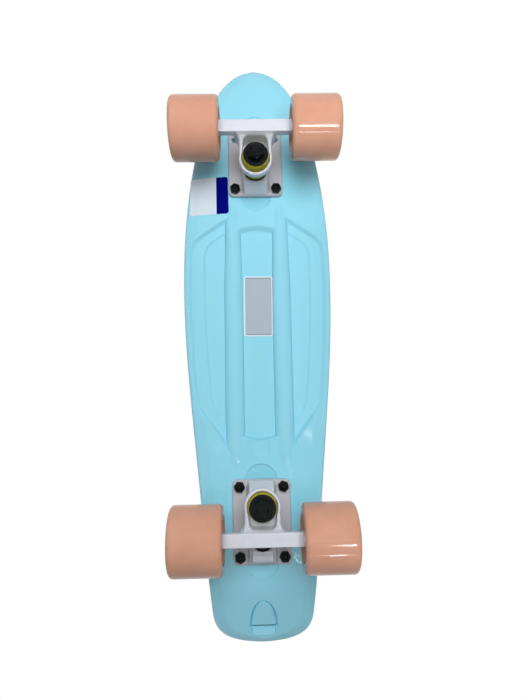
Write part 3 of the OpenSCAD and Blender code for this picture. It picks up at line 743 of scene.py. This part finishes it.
deck = new_mesh("deck_moulding", *deck_shell(), [MATERIALS["deck_plastic"]])
combine(deck, grip_pads(), "UNION")
combine(deck, deck_cuts(), "DIFFERENCE")
combine(deck, stack(step_section, [(1.2, -9.0), (1.2, -3.4), (0.9, -2.4), (-0.4, -0.5),
                                   (-0.9, -0.05), (-1.3, 0.1)]), "DIFFERENCE")
deck.data.materials.clear()
deck.data.materials.append(MATERIALS["deck_plastic"])
deck.data.polygons.foreach_set("material_index", np.zeros(len(deck.data.polygons), np.int32))
deck_normals(deck.data)
stand_in(deck, "deck")


# ---- Cast parts: distance fields, softened and turned into meshes -------------------------------
def polygon_field(a, b, corners):
    """Signed distance to a closed polygon, negative inside."""
    corners = np.array(corners, float)
    best = np.full(np.broadcast(a, b).shape, 1e9)
    inside = np.zeros(best.shape, bool)
    for (x0, y0), (x1, y1) in zip(corners, np.roll(corners, -1, 0)):
        ex, ey = x1 - x0, y1 - y0
        t = np.clip(((a - x0) * ex + (b - y0) * ey) / (ex * ex + ey * ey), 0, 1)
        best = np.minimum(best, (a - x0 - t * ex) ** 2 + (b - y0 - t * ey) ** 2)
        if y0 != y1:
            inside ^= ((b < y0) != (b < y1)) & (a < x0 + (b - y0) * ex / ey)
    return np.where(inside, -1, 1) * np.sqrt(best)


def both(*fields):
    return reduce(np.maximum, fields)


def either(*fields):
    return reduce(np.minimum, fields)


def softened(field, passes=2):
    """Rounds edges and fills corners a little, as casting and paint do."""
    for axis in list(range(3)) * passes:
        field = np.moveaxis(field, axis, 0)
        inner = (field[:-2] + 2 * field[1:-1] + field[2:]) / 4
        field = np.moveaxis(np.concatenate([field[:1], inner, field[-1:]]), 0, axis)
    return field


def surface(field, corner, step):
    """Points, quads and normals of the zero level of a field sampled on a regular grid."""
    inside = field < 0
    near = list(product((0, 1), repeat=3))
    nx, ny, nz = (n - 1 for n in field.shape)

    def part(values, offset):
        i, j, k = offset
        return values[i:i + nx, j:j + ny, k:k + nz]

    total = sum(part(inside, c).astype(np.int8) for c in near)
    active = (total > 0) & (total < 8)
    index = np.full(active.shape, -1, np.int64)
    cells = np.argwhere(active)
    index[active] = np.arange(len(cells))
    # each point is the mean of where the surface crosses its cell's twelve edges
    place, hits = np.zeros((len(cells), 3)), np.zeros(len(cells))
    for a, axis in product(near, range(3)):
        if a[axis]:
            continue
        b = tuple(v + (n == axis) for n, v in enumerate(a))
        fa, fb = part(field, a)[active], part(field, b)[active]
        cross = (fa < 0) != (fb < 0)
        t = np.where(cross, fa / np.where(fa == fb, 1, fa - fb), 0)
        place += (np.array(a, float) + t[:, None] * (np.array(b) - np.array(a))) * cross[:, None]
        hits += cross
    place = place / hits[:, None]
    slopes, normals = np.gradient(field), np.zeros_like(place)
    for c in near:
        weight = np.prod(np.where(c, place, 1 - place), axis=1)
        normals += np.stack([weight * part(slope, c)[active] for slope in slopes], -1)
    normals /= np.maximum(np.linalg.norm(normals, axis=1), 1e-9)[:, None]
    faces = []
    for axis in range(3):
        u, v = [n for n in range(3) if n != axis]
        ahead = np.moveaxis(inside, axis, 0)
        at = np.argwhere(np.moveaxis(ahead[:-1] != ahead[1:], 0, axis))
        at = at[(at[:, u] > 0) & (at[:, v] > 0) & (at[:, u] < field.shape[u] - 1)
                & (at[:, v] < field.shape[v] - 1)]
        back = np.zeros((4, 3), int)        # the four cells round a crossed edge
        back[:, [u, v]] = (1, 1), (0, 1), (0, 0), (1, 0)
        quad = np.stack([index[tuple((at - step_back).T)] for step_back in back], -1)
        forward = inside[tuple(at.T)] ^ (axis == 1)
        faces.append(np.where(forward[:, None], quad, quad[:, ::-1]))
    return np.array(corner) + step * (cells + place), np.concatenate(faces), normals


PIVOT_TILT = math.atan2(SEAT_H - PIVOT_H, PIVOT_Y - KINGPIN_Y)
PIVOT_DIR = (math.cos(PIVOT_TILT), -math.sin(PIVOT_TILT))


def pivot_frame(y, h):
    """Distance along the pivot axis, into the cup, and across it in the side view."""
    along = (y - PIVOT_Y) * PIVOT_DIR[0] + (h - PIVOT_H) * PIVOT_DIR[1]
    return along, (y - PIVOT_Y) * -PIVOT_DIR[1] + (h - PIVOT_H) * PIVOT_DIR[0]


def from_kingpin(x, y):
    return np.hypot(x, y - KINGPIN_Y)


def taper_bar(x, y, h, start, end, wide, thick):
    """A bar from start to end in the side view; its half width and half thickness change."""
    (y0, h0), (y1, h1) = start, end
    length = math.hypot(y1 - y0, h1 - h0)
    along = ((y - y0) * (y1 - y0) + (h - h0) * (h1 - h0)) / length
    off = ((y - y0) * -(h1 - h0) + (h - h0) * (y1 - y0)) / length
    t = np.clip(along / length, 0, 1)
    radius = thick[0] + (thick[1] - thick[0]) * t
    over = np.maximum(np.abs(x) - (wide[0] + (wide[1] - wide[0]) * t - radius), 0)
    past = along - np.clip(along, 0, length)
    return np.sqrt(over ** 2 + off ** 2 + past ** 2) - radius


ARM_TOP = np.array([[-40, 43.6], [-34, 43.8], [-26, 44.5], [-18, 45.9], [-11, 48.5], [-5.5, 52.2],
                    [-2, 56.0], [0.5, 59.4], [3, 61.5], [10, 62.0]])


def hanger_field(x, y, h):
    bar_y, bar_h = y - AXLE_OFFSET, h - AXLE_H
    tube = np.hypot(bar_y, bar_h)
    bar = both(either(tube - 6.0, both(np.abs(bar_y) - 6.0, bar_h - 6.0, -bar_h)),
               np.abs(x) - 34.5)
    barrel = both(tube - 5.85, np.abs(x) - HANGER_HALF)
    # the ring's plan, whose arms flare out to the bar
    t = np.clip((y + 8.5) / 8.5, 0, 1)
    flare = 4.0 * (1 - np.sqrt(np.maximum(1 - t * t, 0)))
    arms = both(np.abs(x) - 15.4 - flare, KINGPIN_Y - y, y - AXLE_OFFSET)
    plan = either(from_kingpin(x, y) - 15.8, arms)
    top = np.interp(y, *ARM_TOP.T)
    lean = np.gradient(top, axis=1) / np.gradient(y, axis=1)
    above = (h - top) / np.sqrt(1 + lean ** 2)
    ring = both(smooth_max(plan, above, 2.2), SEAT_LOW - h, h - AXLE_H - 4)
    web = taper_bar(x, y, h, (AXLE_OFFSET, 52.2), (9.6, 25.5), (18, 7.8), (4.4, 7.4))
    gusset = polygon_field(y, h, [[-8, SEAT_LOW], [-8, SEAT_TOP], [1, 49], [5, 49], [13, 28],
                                  [6, 20.5]])
    reach = np.clip(np.hypot(y - 8, h - 24) / 20, 0, 1)
    gusset = smooth_max(gusset, np.abs(x) - (6.3 + 6.0 * reach), 2.5)
    along, aside = pivot_frame(y, h)
    stub, tip = np.hypot(x, aside), along - NOSE_REACH
    nose = either(both(stub - NOSE_R, -along - 12, tip), np.hypot(stub, tip) - NOSE_R)
    body = smooth_min(smooth_min(ring, bar, 1.6), barrel, 0.4)
    body = smooth_min(body, smooth_min(web, gusset, 4.0), 3.0)
    body = smooth_min(body, nose, 1.2)
    # the window over the ring's seat
    tall = np.hypot(np.maximum(np.abs(x) - 7.6 + 0.12 * (y + 10), 0),
                    np.maximum(np.abs(y + 13) - 6.6, 0)) - 4.4
    window = smooth_min(from_kingpin(x, y) - 12.9, tall, 1.5)
    body = smooth_max(body, -both(window, SEAT_TOP - h), 1.3)
    body = both(body, 8.2 - from_kingpin(x, y))
    return both(body, -both(from_kingpin(x, y) - 13.4, BOSS_H + 0.6 - h, h - SEAT_LOW))


BLOCK_TOP = [(-37.6, 5.0), (-31.5, 18.6), (-29.8, BOSS_H), (-8, BOSS_H), (-3, 12), (10, 9.5)]


def baseplate_field(x, y, h):
    ax, ay = np.abs(x) - 22.5, np.abs(y - 0.5) - 34.0
    corner = np.hypot(np.maximum(ax, 0), np.maximum(ay, 0)) - 5.0
    inner = np.maximum(ax, ay)
    plan = np.where(inner < 0, np.maximum(inner, -5) - 5.0, corner)
    plate = both(smooth_max(plan + 0.05 * h, h - PLATE_H, 1.5), -h)
    ramp = polygon_field(y, h, [(-37.6, 0), *BLOCK_TOP, (10, 0)])
    top = np.interp(y, *np.transpose(BLOCK_TOP))
    block = smooth_max(ramp, np.abs(x) - 11.3 - 0.17 * (top - h), 0.7)
    house = polygon_field(y, h, [[6, 0], [10, 9.5], [14.3, 12.6], [22.3, 28.6], [25.9, 26.2],
                                 [31.8, 23.8], [37.6, 5.2], [37.6, 0]])
    house = smooth_max(house, np.abs(x) - (10.6 - 0.05 * h), 1.0)
    skirt = polygon_field(y, h, [[8, 0], [8, 9.5], [28, 15], [37.6, 4.9], [37.6, 0]])
    skirt = smooth_max(skirt, np.abs(x) - (13.6 - 0.12 * h), 1.2)
    body = smooth_min(block, smooth_min(house, skirt, 1.4), 1.4)
    body = smooth_min(plate, body, 1.8)
    for hx, hy in HOLES + SPARE_HOLES:
        # a machined spot round each hole keeps the nut's seat flat
        away = np.hypot(x - hx, y - hy)
        body = both(body, -both(away - 6.4, PLATE_H - h), 2.8 - away)
    along, aside = pivot_frame(y, h)
    cup = both(np.hypot(x, aside) - CUP_R, along - CUP_DEPTH, -along - 14)
    return both(body, -cup, 4.9 - from_kingpin(x, y))


def cast(node, field, low, high, step):
    """Both trucks' copies of one casting, in place of its CAD node."""
    axes = [np.arange(a, b + step, step) for a, b in zip(low, high)]
    x, y, h = np.meshgrid(*axes, indexing="ij", sparse=True)
    points, faces, normals = surface(softened(field(x, y, h) + 0 * (x + y + h)), low, step)
    for end, front in ENDS:
        spin = truck_to_world(normals, front) - truck_to_world(np.zeros((1, 3)), front)
        made = new_mesh(f"{end}_{node}_casting", truck_to_world(points, front), faces,
                        [MATERIALS["truck_paint"]], normals=spin)
        stand_in(made, f"{end}_{node}")


cast("hanger", hanger_field, (-39.3, -36.6, 14.0), (39.3, 26.8, 61.8), 0.46)
cast("baseplate", baseplate_field, (-28.8, -39.9, -1.2), (28.8, 40.9, 30.2), 0.48)


# ---- Hardware -----------------------------------------------------------------------------------
CENTRE = 0.01                   # radius at which a solid part closes on its axis
WASHER_R, WASHER_FLOOR, NUT_AF = 11.7, 1.6, 14.3
OUTER_SKIRT_H, OUTER_WASHER_H, INNER_WASHER_H = 51.6, 3.0, 4.4
NUT_H, BOLT_D = 5.6, 4.8
BOLT_END = PLATE_H + NUT_H - 0.8
KINGPIN_R, KINGPIN_END = 4.75, 65.0
BEARING_W, SPACER_L, WASHER_T, AXLE_NUT_H, AXLE_R = 7.0, 10.0, 1.0, 8.0, 4.0
INNER_BEARING = HANGER_HALF + WASHER_T
OUTER_BEARING = INNER_BEARING + BEARING_W + SPACER_L
OUTER_WASHER_X = OUTER_BEARING + BEARING_W
AXLE_END = OUTER_WASHER_X + WASHER_T + AXLE_NUT_H + 1
WHEEL_IN, WHEEL_OUT = 33.3, 78.3


def hexagon(af, segments, ease=1.0):
    """Radius of a hexagon, its corners cut back to a share of their own radius."""
    wedge = (round_angles(segments) + math.pi / 6) % (math.pi / 3) - math.pi / 6
    return np.minimum(af / 2 / np.cos(wedge), af / math.sqrt(3) * ease)


def hex_nut(af, height, bore, collar, segments=120):
    """Chamfered at both ends, with a countersunk bore and a round locking collar."""
    flat_r, tall, hole, wall = af / 2 - 0.15, height - collar, bore / 2, af / 2 - 0.8
    proud = hexagon(af, segments, 0.985) - flat_r
    drop = proud * math.tan(math.radians(28))
    rows = [(hole, 0.5), (hole + 0.45, 0.0), (flat_r, 0.0)]
    rows += [(flat_r + proud * share, drop * share) for share in (0.5, 1.0)]
    rows += [(flat_r + proud * share, tall - drop * share) for share in (1.0, 0.5)]
    rows += [(flat_r, tall), (wall, tall), (wall, height - 1.0)]
    rows += arc(wall - 0.8, height - 1.0, 0.8, 20, 90, 4)
    return lathe(rows + [(hole + 0.2, height), (hole, height - 0.5)], segments)


def hex_head(af, start, end, segments=96):
    corner, flat_r = hexagon(af, segments, 0.98), af / 2 - 0.2
    drop = (corner - flat_r) * 0.5
    return lathe([(CENTRE, start), (flat_r, start), (corner, start + drop),
                  (corner, end - drop * 0.01), (flat_r, end), (CENTRE, end)], segments)


def socket_head(segments=72):
    """Countersunk bolt head with a hex socket, its flat face at +Z zero."""
    key = hexagon(4.0, segments)
    return lathe([(CENTRE, -2.7), (1.9, -2.7), (2.4, -2.6), (4.75, -0.35), (4.8, -0.15),
                  (4.6, 0.0), (key + 0.25, 0.0), (key, -0.2), (key, -2.0), (CENTRE, -2.2)],
                 segments)


def thread(radius, start, end, pitch, tip=0.7, segments=48):
    """A solid rod with a V thread from start to end along +Z, and a chamfered tip."""
    turn, core = round_angles(segments) / (2 * math.pi), radius - 0.35
    rows = [(CENTRE, start), (radius - 0.05, start)]
    for level in np.arange(start, end - tip, pitch / 6):
        phase = (level / pitch - turn) % 1.0
        fade = np.clip((end - tip - level) / pitch + 0.4, 0, 1)
        rows.append((radius - pitch * 0.55 * np.abs(phase * 2 - 1) * fade, level))
    return lathe(rows + [(core, end - tip), (core - tip * 0.8, end), (CENTRE, end)], segments)


def rod(radius, start, end, segments=72):
    return lathe([(CENTRE, start), (radius, start), (radius, end), (CENTRE, end)], segments)


def cup_washer(height):
    """A pressed cup washer, open side down, its skirt's foot at zero."""
    floor_h = height - WASHER_FLOOR
    outer = [(4.9, floor_h + 0.1), (4.9, height)]
    outer += arc(WASHER_R - 1.4, height - 1.4, 1.4, 90, 0, 6)
    profile = rounded(outer + [(WASHER_R, 0.0), (WASHER_R - 1.2, 0.0)], 0.22)
    profile += arc(WASHER_R - 2.1, floor_h - 0.8, 0.9, 0, 90, 4)
    return lathe(profile[::-1])


def bushing(r, length, neck_length):
    """Cast urethane bushing from its seat out to its washer, slightly barrelled."""
    neck, shoulder = WASHER_R - 1.3, length - neck_length
    rows = [(5.05, 0.0), (r - 0.7, 0.0)] + arc(r - 0.7, 0.7, 0.7, -60, 0, 3)
    rows += [(r + 0.15 * math.sin(math.pi * k / 7), 0.7 + (shoulder - 2.2) * k / 7)
             for k in range(1, 8)]
    rows += arc(r - 0.7, shoulder - 1.1, 0.7, 0, 60, 3)
    rows += [(neck, shoulder), (neck, length - 0.5), (neck - 0.4, length), (5.05, length)]
    return lathe(rows)


def pivot_cup():
    r, deep, bore = CUP_R, CUP_DEPTH, NOSE_R + 0.12
    rows = [(CENTRE, deep), (r - 0.8, deep), (r, deep - 0.8), (r, -0.4)]
    rows += arc(r - 0.6, -0.6, 0.6, 0, -90, 4) + [(bore + 0.5, -1.2)]
    rows += arc(bore + 0.5, -0.7, 0.5, -90, -180, 4)[1:] + [(bore, NOSE_REACH)]
    rows += [(bore * math.cos(a), NOSE_REACH + bore * math.sin(a))
             for a in np.linspace(0.2, 1.5, 8)]
    points, faces = lathe(rows + [(CENTRE, NOSE_REACH + bore)], 72)
    a, b, c = points.T
    y = PIVOT_Y + c * PIVOT_DIR[0] + b * PIVOT_DIR[1]
    h = PIVOT_H + c * PIVOT_DIR[1] - b * PIVOT_DIR[0]
    return np.stack([a, y, h], -1), faces[:, ::-1]


def axle(segments=56):
    half = thread(AXLE_R, OUTER_BEARING + 2, AXLE_END, 1.06, 1.0, segments)
    core = rod(AXLE_R - 0.02, -OUTER_BEARING - 2.1, OUTER_BEARING + 2.1, segments)
    points, faces = joined(half, moved(half, flip=True), core)
    x, y, z = points.T
    return np.stack([z, y + AXLE_OFFSET, AXLE_H - x], -1), faces


def wheel():
    """A cast wheel, from its half section of radius and distance from the truck's middle."""
    r, lip = WHEEL_D / 2, 4.0
    rows = [(9.0, INNER_BEARING + BEARING_W), (9.0, OUTER_BEARING), (11.0, OUTER_BEARING),
            (11.0, OUTER_WASHER_X), (12.0, OUTER_WASHER_X)]
    # the outer face's dish, with a shallow step where the hub meets the tread
    rows += [(12.7, 64.2), (13.5, 65.6), (15.2, 68.2), (17.3, 71.2), (18.6, 73.0), (19.6, 74.6),
             (20.6, 76.2), (21.3, 77.2), (22.2, 77.9), (23.4, 78.2), (24.6, WHEEL_OUT)]
    rows += arc(r - lip, WHEEL_OUT - lip, lip, 88, 2, 12)
    rows += [(r, z) for z in np.linspace(WHEEL_OUT - lip - 1, WHEEL_IN + lip + 1, 9)]
    rows += arc(r - lip, WHEEL_IN + lip, lip, -2, -88, 12)
    rows += [(23.0, WHEEL_IN), (21.2, WHEEL_IN + 0.1), (20.2, 33.8), (19.2, 34.5), (17.0, 35.8),
             (14.8, 36.9), (13.2, 37.8), (12.0, 38.8), (12.0, INNER_BEARING),
             (11.0, INNER_BEARING), (11.0, INNER_BEARING + BEARING_W)]
    return lathe(rows[::-1], 168)


GROOVE_R, BALLS_R = 2.015, 7.5     # a race's groove and the circle of the balls


def bearing_outer(z):
    """Outer race with its two shields, closed in one section; z is the bearing's inner side."""
    half = BEARING_W / 2
    side = [(10.75, -half), (11.0, -half + 0.25), (11.0, half - 0.25), (10.75, half), (9.7, half),
            (9.55, half - 0.15), (9.45, half - 0.45), (8.7, half - 0.32), (6.9, half - 0.3),
            (6.3, half - 0.42), (6.2, half - 0.55), (6.2, half - 0.7), (9.2, half - 0.7),
            (9.45, 2.0)]
    shields = [(r, -h) for r, h in reversed(side[4:13])]
    side += [(BALLS_R + GROOVE_R * math.cos(a), GROOVE_R * math.sin(a))
             for a in np.linspace(0.25, -0.25, 5)]
    return lathe(side + [(9.45, -2.0)] + shields, 120, z + half)


def bearing_inner(z):
    half, bore = BEARING_W / 2, AXLE_R + 0.01
    rows = [(bore, -half + 0.25), (bore + 0.25, -half), (5.75, -half), (5.95, -half + 0.2)]
    rows += [(BALLS_R - GROOVE_R * math.cos(a), GROOVE_R * math.sin(a))
             for a in np.linspace(-0.65, 0.65, 7)]
    rows += [(5.95, half - 0.2), (5.75, half), (bore + 0.25, half), (bore, half - 0.25)]
    return lathe(rows, base=z + half)


def speed_washer(z):
    inner, outer, thick = 4.05, 5.8, WASHER_T
    rows = [(inner, 0.12), (inner + 0.12, 0), (outer - 0.2, 0), (outer, 0.2),
            (outer, thick - 0.2), (outer - 0.2, thick), (inner + 0.12, thick),
            (inner, thick - 0.12)]
    return lathe(rows, 72, z)


def on_kingpin(part, h, **turned):
    return moved(part, (0, KINGPIN_Y, h), **turned)


ON_TRUCK = {    # name: part in the truck's frame, crease angle, where a soft part starts to bend
    "kingpin": (joined(
        on_kingpin(hex_head(NUT_AF, -1.0, 5.0), 0),
        on_kingpin(rod(KINGPIN_R, 4.9, 50.0), 0),
        on_kingpin(thread(KINGPIN_R, 49.9, KINGPIN_END, 1.06), 0)), 35, None),
    "kingpin_nut": (on_kingpin(hex_nut(NUT_AF, 8.6, 2 * KINGPIN_R + 0.04, 2.4),
                               OUTER_SKIRT_H + OUTER_WASHER_H, turn=8), 35, None),
    "outer_cup_washer": (on_kingpin(cup_washer(OUTER_WASHER_H), OUTER_SKIRT_H), 35, None),
    "inner_cup_washer": (on_kingpin(cup_washer(INNER_WASHER_H), BOSS_H + INNER_WASHER_H,
                                    flip=True), 35, None),
    "outer_bushing": (on_kingpin(
        bushing(12.4, OUTER_SKIRT_H + OUTER_WASHER_H - WASHER_FLOOR - SEAT_TOP,
                OUTER_WASHER_H - 1.1), SEAT_TOP), 35, (OUTER_SKIRT_H + 0.5, SEAT_TOP + 0.8)),
    "inner_bushing": (on_kingpin(
        bushing(11.7, SEAT_LOW - BOSS_H - WASHER_FLOOR, INNER_WASHER_H - 1.1), SEAT_LOW,
        flip=True), 35, (BOSS_H + INNER_WASHER_H, SEAT_LOW - 0.8)),
    "mounting_bolts": (joined(*[part for x, y in HOLES for part in (
        moved(socket_head(), (x, y, -THICK), flip=True),
        moved(rod(2.35, -THICK + 2.3, 3.0, 40), (x, y, 0)),
        moved(thread(2.4, 2.9, BOLT_END, 0.8, 0.4, 32), (x, y, 0)))]), 35, None),
    "mounting_nuts": (joined(*[
        moved(hex_nut(9.4, NUT_H, BOLT_D + 0.04, 1.4, 96), (x, y, PLATE_H), turn=turn)
        for (x, y), turn in zip(HOLES, (12, 31, 24, 5))]), 35, None),
    "pivot_cup": (pivot_cup(), 50, None),
    "axle": (axle(), 35, None),
}
for piece, (part, sharp, bends) in ON_TRUCK.items():
    for end, front in ENDS:
        held = bends and (truck_to_world([(0, KINGPIN_Y, h) for h in bends], front) * MM).tolist()
        detail(f"{end}_{piece}", truck_to_world(part[0], front), part[1], sharp, held)

ON_WHEEL = {    # name: part along the axle, crease angle
    "wheel": (wheel(), 40),
    "outer_races": (joined(bearing_outer(INNER_BEARING), bearing_outer(OUTER_BEARING)), 35),
    "inner_races": (joined(bearing_inner(INNER_BEARING), bearing_inner(OUTER_BEARING)), 35),
    "speed_washers": (joined(speed_washer(HANGER_HALF), speed_washer(OUTER_WASHER_X)), 35),
    "axle_nut": (moved(hex_nut(12.7, AXLE_NUT_H, 2 * AXLE_R + 0.02, 2.2),
                       (0, 0, OUTER_WASHER_X + WASHER_T), turn=17), 32),
}
for end, front in ENDS:
    for side, left in (("left", True), ("right", False)):
        for piece, (part, sharp) in ON_WHEEL.items():
            points = wheel_to_world(part[0], front, left)
            detail(f"{end}_{side}_{piece}", points, part[1], sharp)


# ---- Blank stickers -----------------------------------------------------------------------------
STICKER_T = 0.12


def sticker(name, corners, radius, rows, columns, lift, materials, paint):
    """A thin sheet lying on the underside; its corners run round it, in millimetres."""
    a, b, c, d = (np.array(p, float) for p in corners)
    size = np.array([np.linalg.norm(b - a), np.linalg.norm(d - a)])
    uv = np.stack(np.meshgrid(np.linspace(0, 1, columns), np.linspace(0, 1, rows)), -1)
    # the corners are rounded by drawing the ends of each edge row in
    off = np.abs(uv - 0.5) * size
    over = np.maximum(off - (size / 2 - radius), 0)
    length = np.maximum(np.hypot(*np.moveaxis(over, -1, 0)), 1e-9)
    pull = np.where(over.min(-1) > 0, over.max(-1) / length, 1.0)[..., None]
    drawn = 0.5 + np.sign(uv - 0.5) * (off - over + over * pull) / size
    u, v = drawn[..., :1], drawn[..., 1:]
    place = (1 - u) * (1 - v) * a + u * (1 - v) * b + u * v * c + (1 - u) * v * d
    x, y = np.moveaxis(place, -1, 0)
    w, stretch = outline(y)
    safe = np.sign(x) * np.minimum(np.abs(x), w - 7.0 * stretch)
    z = PAD_Z + under_z(safe, y) - lift
    near, back = (np.stack([x, y, level], -1).reshape(-1, 3) for level in (z - STICKER_T, z))
    faces, count = grid_faces(rows, columns), rows * columns
    at = np.arange(count).reshape(rows, columns)
    loop = np.concatenate([at[0], at[1:, -1], at[-1, -2::-1], at[-2:0:-1, 0]])
    nxt = np.roll(loop, -1)
    side = np.stack([loop, nxt, nxt + count, loop + count], -1)
    made = new_mesh(name, np.concatenate([near, back]),
                    np.concatenate([faces[:, ::-1], faces + count, side]),
                    [MATERIALS[material] for material in materials], 50)
    slots = np.zeros(len(made.data.polygons), np.int32)
    slots[:len(faces)] = paint(*(uv * size).reshape(-1, 2)[faces].mean(1).T, *size)
    made.data.polygons.foreach_set("material_index", slots)
    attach(made, "board")


def band(x, y, wide, tall):
    return x > wide * 0.685


def border(x, y, wide, tall):
    edge = np.minimum(np.minimum(x, wide - x), np.minimum(y, tall - y))
    return np.where(edge < 1.5, 2, edge < 2.0)


# price tag, left bare
sticker("price_tag", [(66.2, 165.0), (28.4, 167.9), (27.6, 128.6), (67.3, 125.9)], 2.6, 60, 90,
        0.12, ("tag_paper", "tag_navy"), band)
# film label between the ribs, left bare inside its border
sticker("film_label", [(13.6, 63.5), (-15.6, 63.2), (-15.0, 2.0), (14.2, 2.4)], 2.5, 140, 72,
        0.05, ("label_film", "label_ink", "label_edge"), border)


# ---- Floor, light and camera --------------------------------------------------------------------
FLOOR_R, FLOOR_SIDES, FLOOR_Z = 6000, 96, -0.2
CLEAR_TO_WHITE = (0.5, 1.6)         # metres from the object between which the floor turns white
FILL, WHITE = 0.2, 1.0              # the sky as a soft fill, and as cameras and reflections see it


def floor_material():
    """Pale paper that fades to white far out, and is clear from below."""
    s = look("floor_paper", ((30.0,), 0.3, 0.7, (0.86, 0.86, 0.855), (0.88, 0.88, 0.875)),
             None, ((400.0, 2.0), 0.0001, 0.3), Roughness=0.7, Specular_IOR_Level=0.2)
    far = s.placed("VectorMath", operation="LENGTH")["Value"]
    below = s.node("NewGeometry").outputs["Backfacing"]
    surface_out = s.shader.outputs[0]
    for amount, other in ((s.ramp(far, *CLEAR_TO_WHITE), "Emission"), (below, "BsdfTransparent")):
        blend = s.node("MixShader")
        for at, value in enumerate((amount, surface_out, s.node(other).outputs[0])):
            s.put(value, blend.inputs[at])
        surface_out = blend.outputs[0]
    s.put(surface_out, s.out)
    return s.mat


disc = [(0, 0, FLOOR_Z)] + [(FLOOR_R * math.cos(a), FLOOR_R * math.sin(a), FLOOR_Z)
                            for a in round_angles(FLOOR_SIDES)]
floor = new_mesh("floor", disc, [[0, 1 + k, 1 + (k + 1) % FLOOR_SIDES]
                                 for k in range(FLOOR_SIDES)], [floor_material()])
floor.visible_shadow = floor.visible_diffuse = False
floor.visible_glossy = floor.visible_transmission = False

scene = bpy.context.scene
scene.world = bpy.data.worlds.new("studio")
sky = Nodes(scene.world)
ray = sky.node("LightPath").outputs
seen = sky.math("MAXIMUM", ray["Is Camera Ray"], ray["Is Glossy Ray"])
seen = sky.math("MAXIMUM", seen, ray["Is Transmission Ray"])
white = sky.node("Background", Color=(1, 1, 1, 1))
sky.put(sky.ramp(seen, 0.0, 1.0, FILL, WHITE), white.inputs["Strength"])
sky.put(white.outputs[0], sky.node("OutputWorld").inputs["Surface"])

MIDDLE, DECK, LINES = (0.0, 0.0, 0.06), (0.0, 0.12, 0.05), (0.0, -0.05, 0.05)
FRONT_WHEEL, REAR_WHEEL = (-0.055, 0.19, 0.0), (-0.064, -0.185, 0.0)
LAMPS = {   # place, aim, size, power, whether reflections show it, spread in degrees
    "key_below": ((-0.03, 0.21, -0.82), DECK, (0.55, 0.55), 7.8, False, 180),
    "key_above": ((-0.5, -0.5, 1.5), MIDDLE, (1.2, 1.2), 19.0, False, 180),
    "fill_above": ((0.9, 0.6, 1.0), MIDDLE, (0.9, 0.9), 6.0, False, 180),
    # thin strips draw fine lines on the deck; the narrow beams only reach one wheel each
    "strip_line": ((-0.21, -0.137, -1.18), LINES, (0.008, 0.14), 0.04, True, 180),
    "strip_faint": ((0.09, -0.137, -1.18), LINES, (0.006, 0.12), 0.008, True, 180),
    "beam_front": ((-0.225, -0.33, -1.18), FRONT_WHEEL, (0.17, 0.16), 0.016, True, 12),
    "beam_front_low": ((-0.24, -0.92, -1.12), FRONT_WHEEL, (0.15, 0.05), 0.0022, True, 12),
    "beam_rear": ((-0.285, -0.47, -1.18), REAR_WHEEL, (0.06, 0.11), 0.0026, True, 8),
    "beam_tail": ((-0.285, -1.27, -1.12), REAR_WHEEL, (0.06, 0.07), 0.0018, True, 8),
}
for name, (place, aim, size, power, reflected, spread) in LAMPS.items():
    data = bpy.data.lights.new(name, "AREA")
    data.shape, data.size, data.size_y = "RECTANGLE", *size
    data.energy, data.spread = power, math.radians(spread)
    lamp = bpy.data.objects.new(name, data)
    bpy.context.collection.objects.link(lamp)
    lamp.location = place
    lamp.rotation_mode = "QUATERNION"
    lamp.rotation_quaternion = (Vector(aim) - Vector(place)).to_track_quat("-Z", "Y")
    lamp.visible_glossy, lamp.visible_camera = reflected, False

camera = bpy.data.objects.new("camera", bpy.data.cameras.new("camera"))
bpy.context.collection.objects.link(camera)
forward = Vector((-0.020634, 0.133703, 0.990807)).normalized()
up = Vector((-0.017864, 0.990810, -0.134075)).normalized()
right = forward.cross(up).normalized()
up = right.cross(forward)
camera.matrix_world = Matrix.Translation((0.007046, -0.08239, -0.43566)) @ \
    Matrix((right, up, -forward)).transposed().to_4x4()
camera.data.lens, camera.data.sensor_width = 27.40, 36.0
camera.data.clip_start, camera.data.clip_end = 0.01, 100.0
scene.camera = camera
scene.view_settings.view_transform = "Standard"
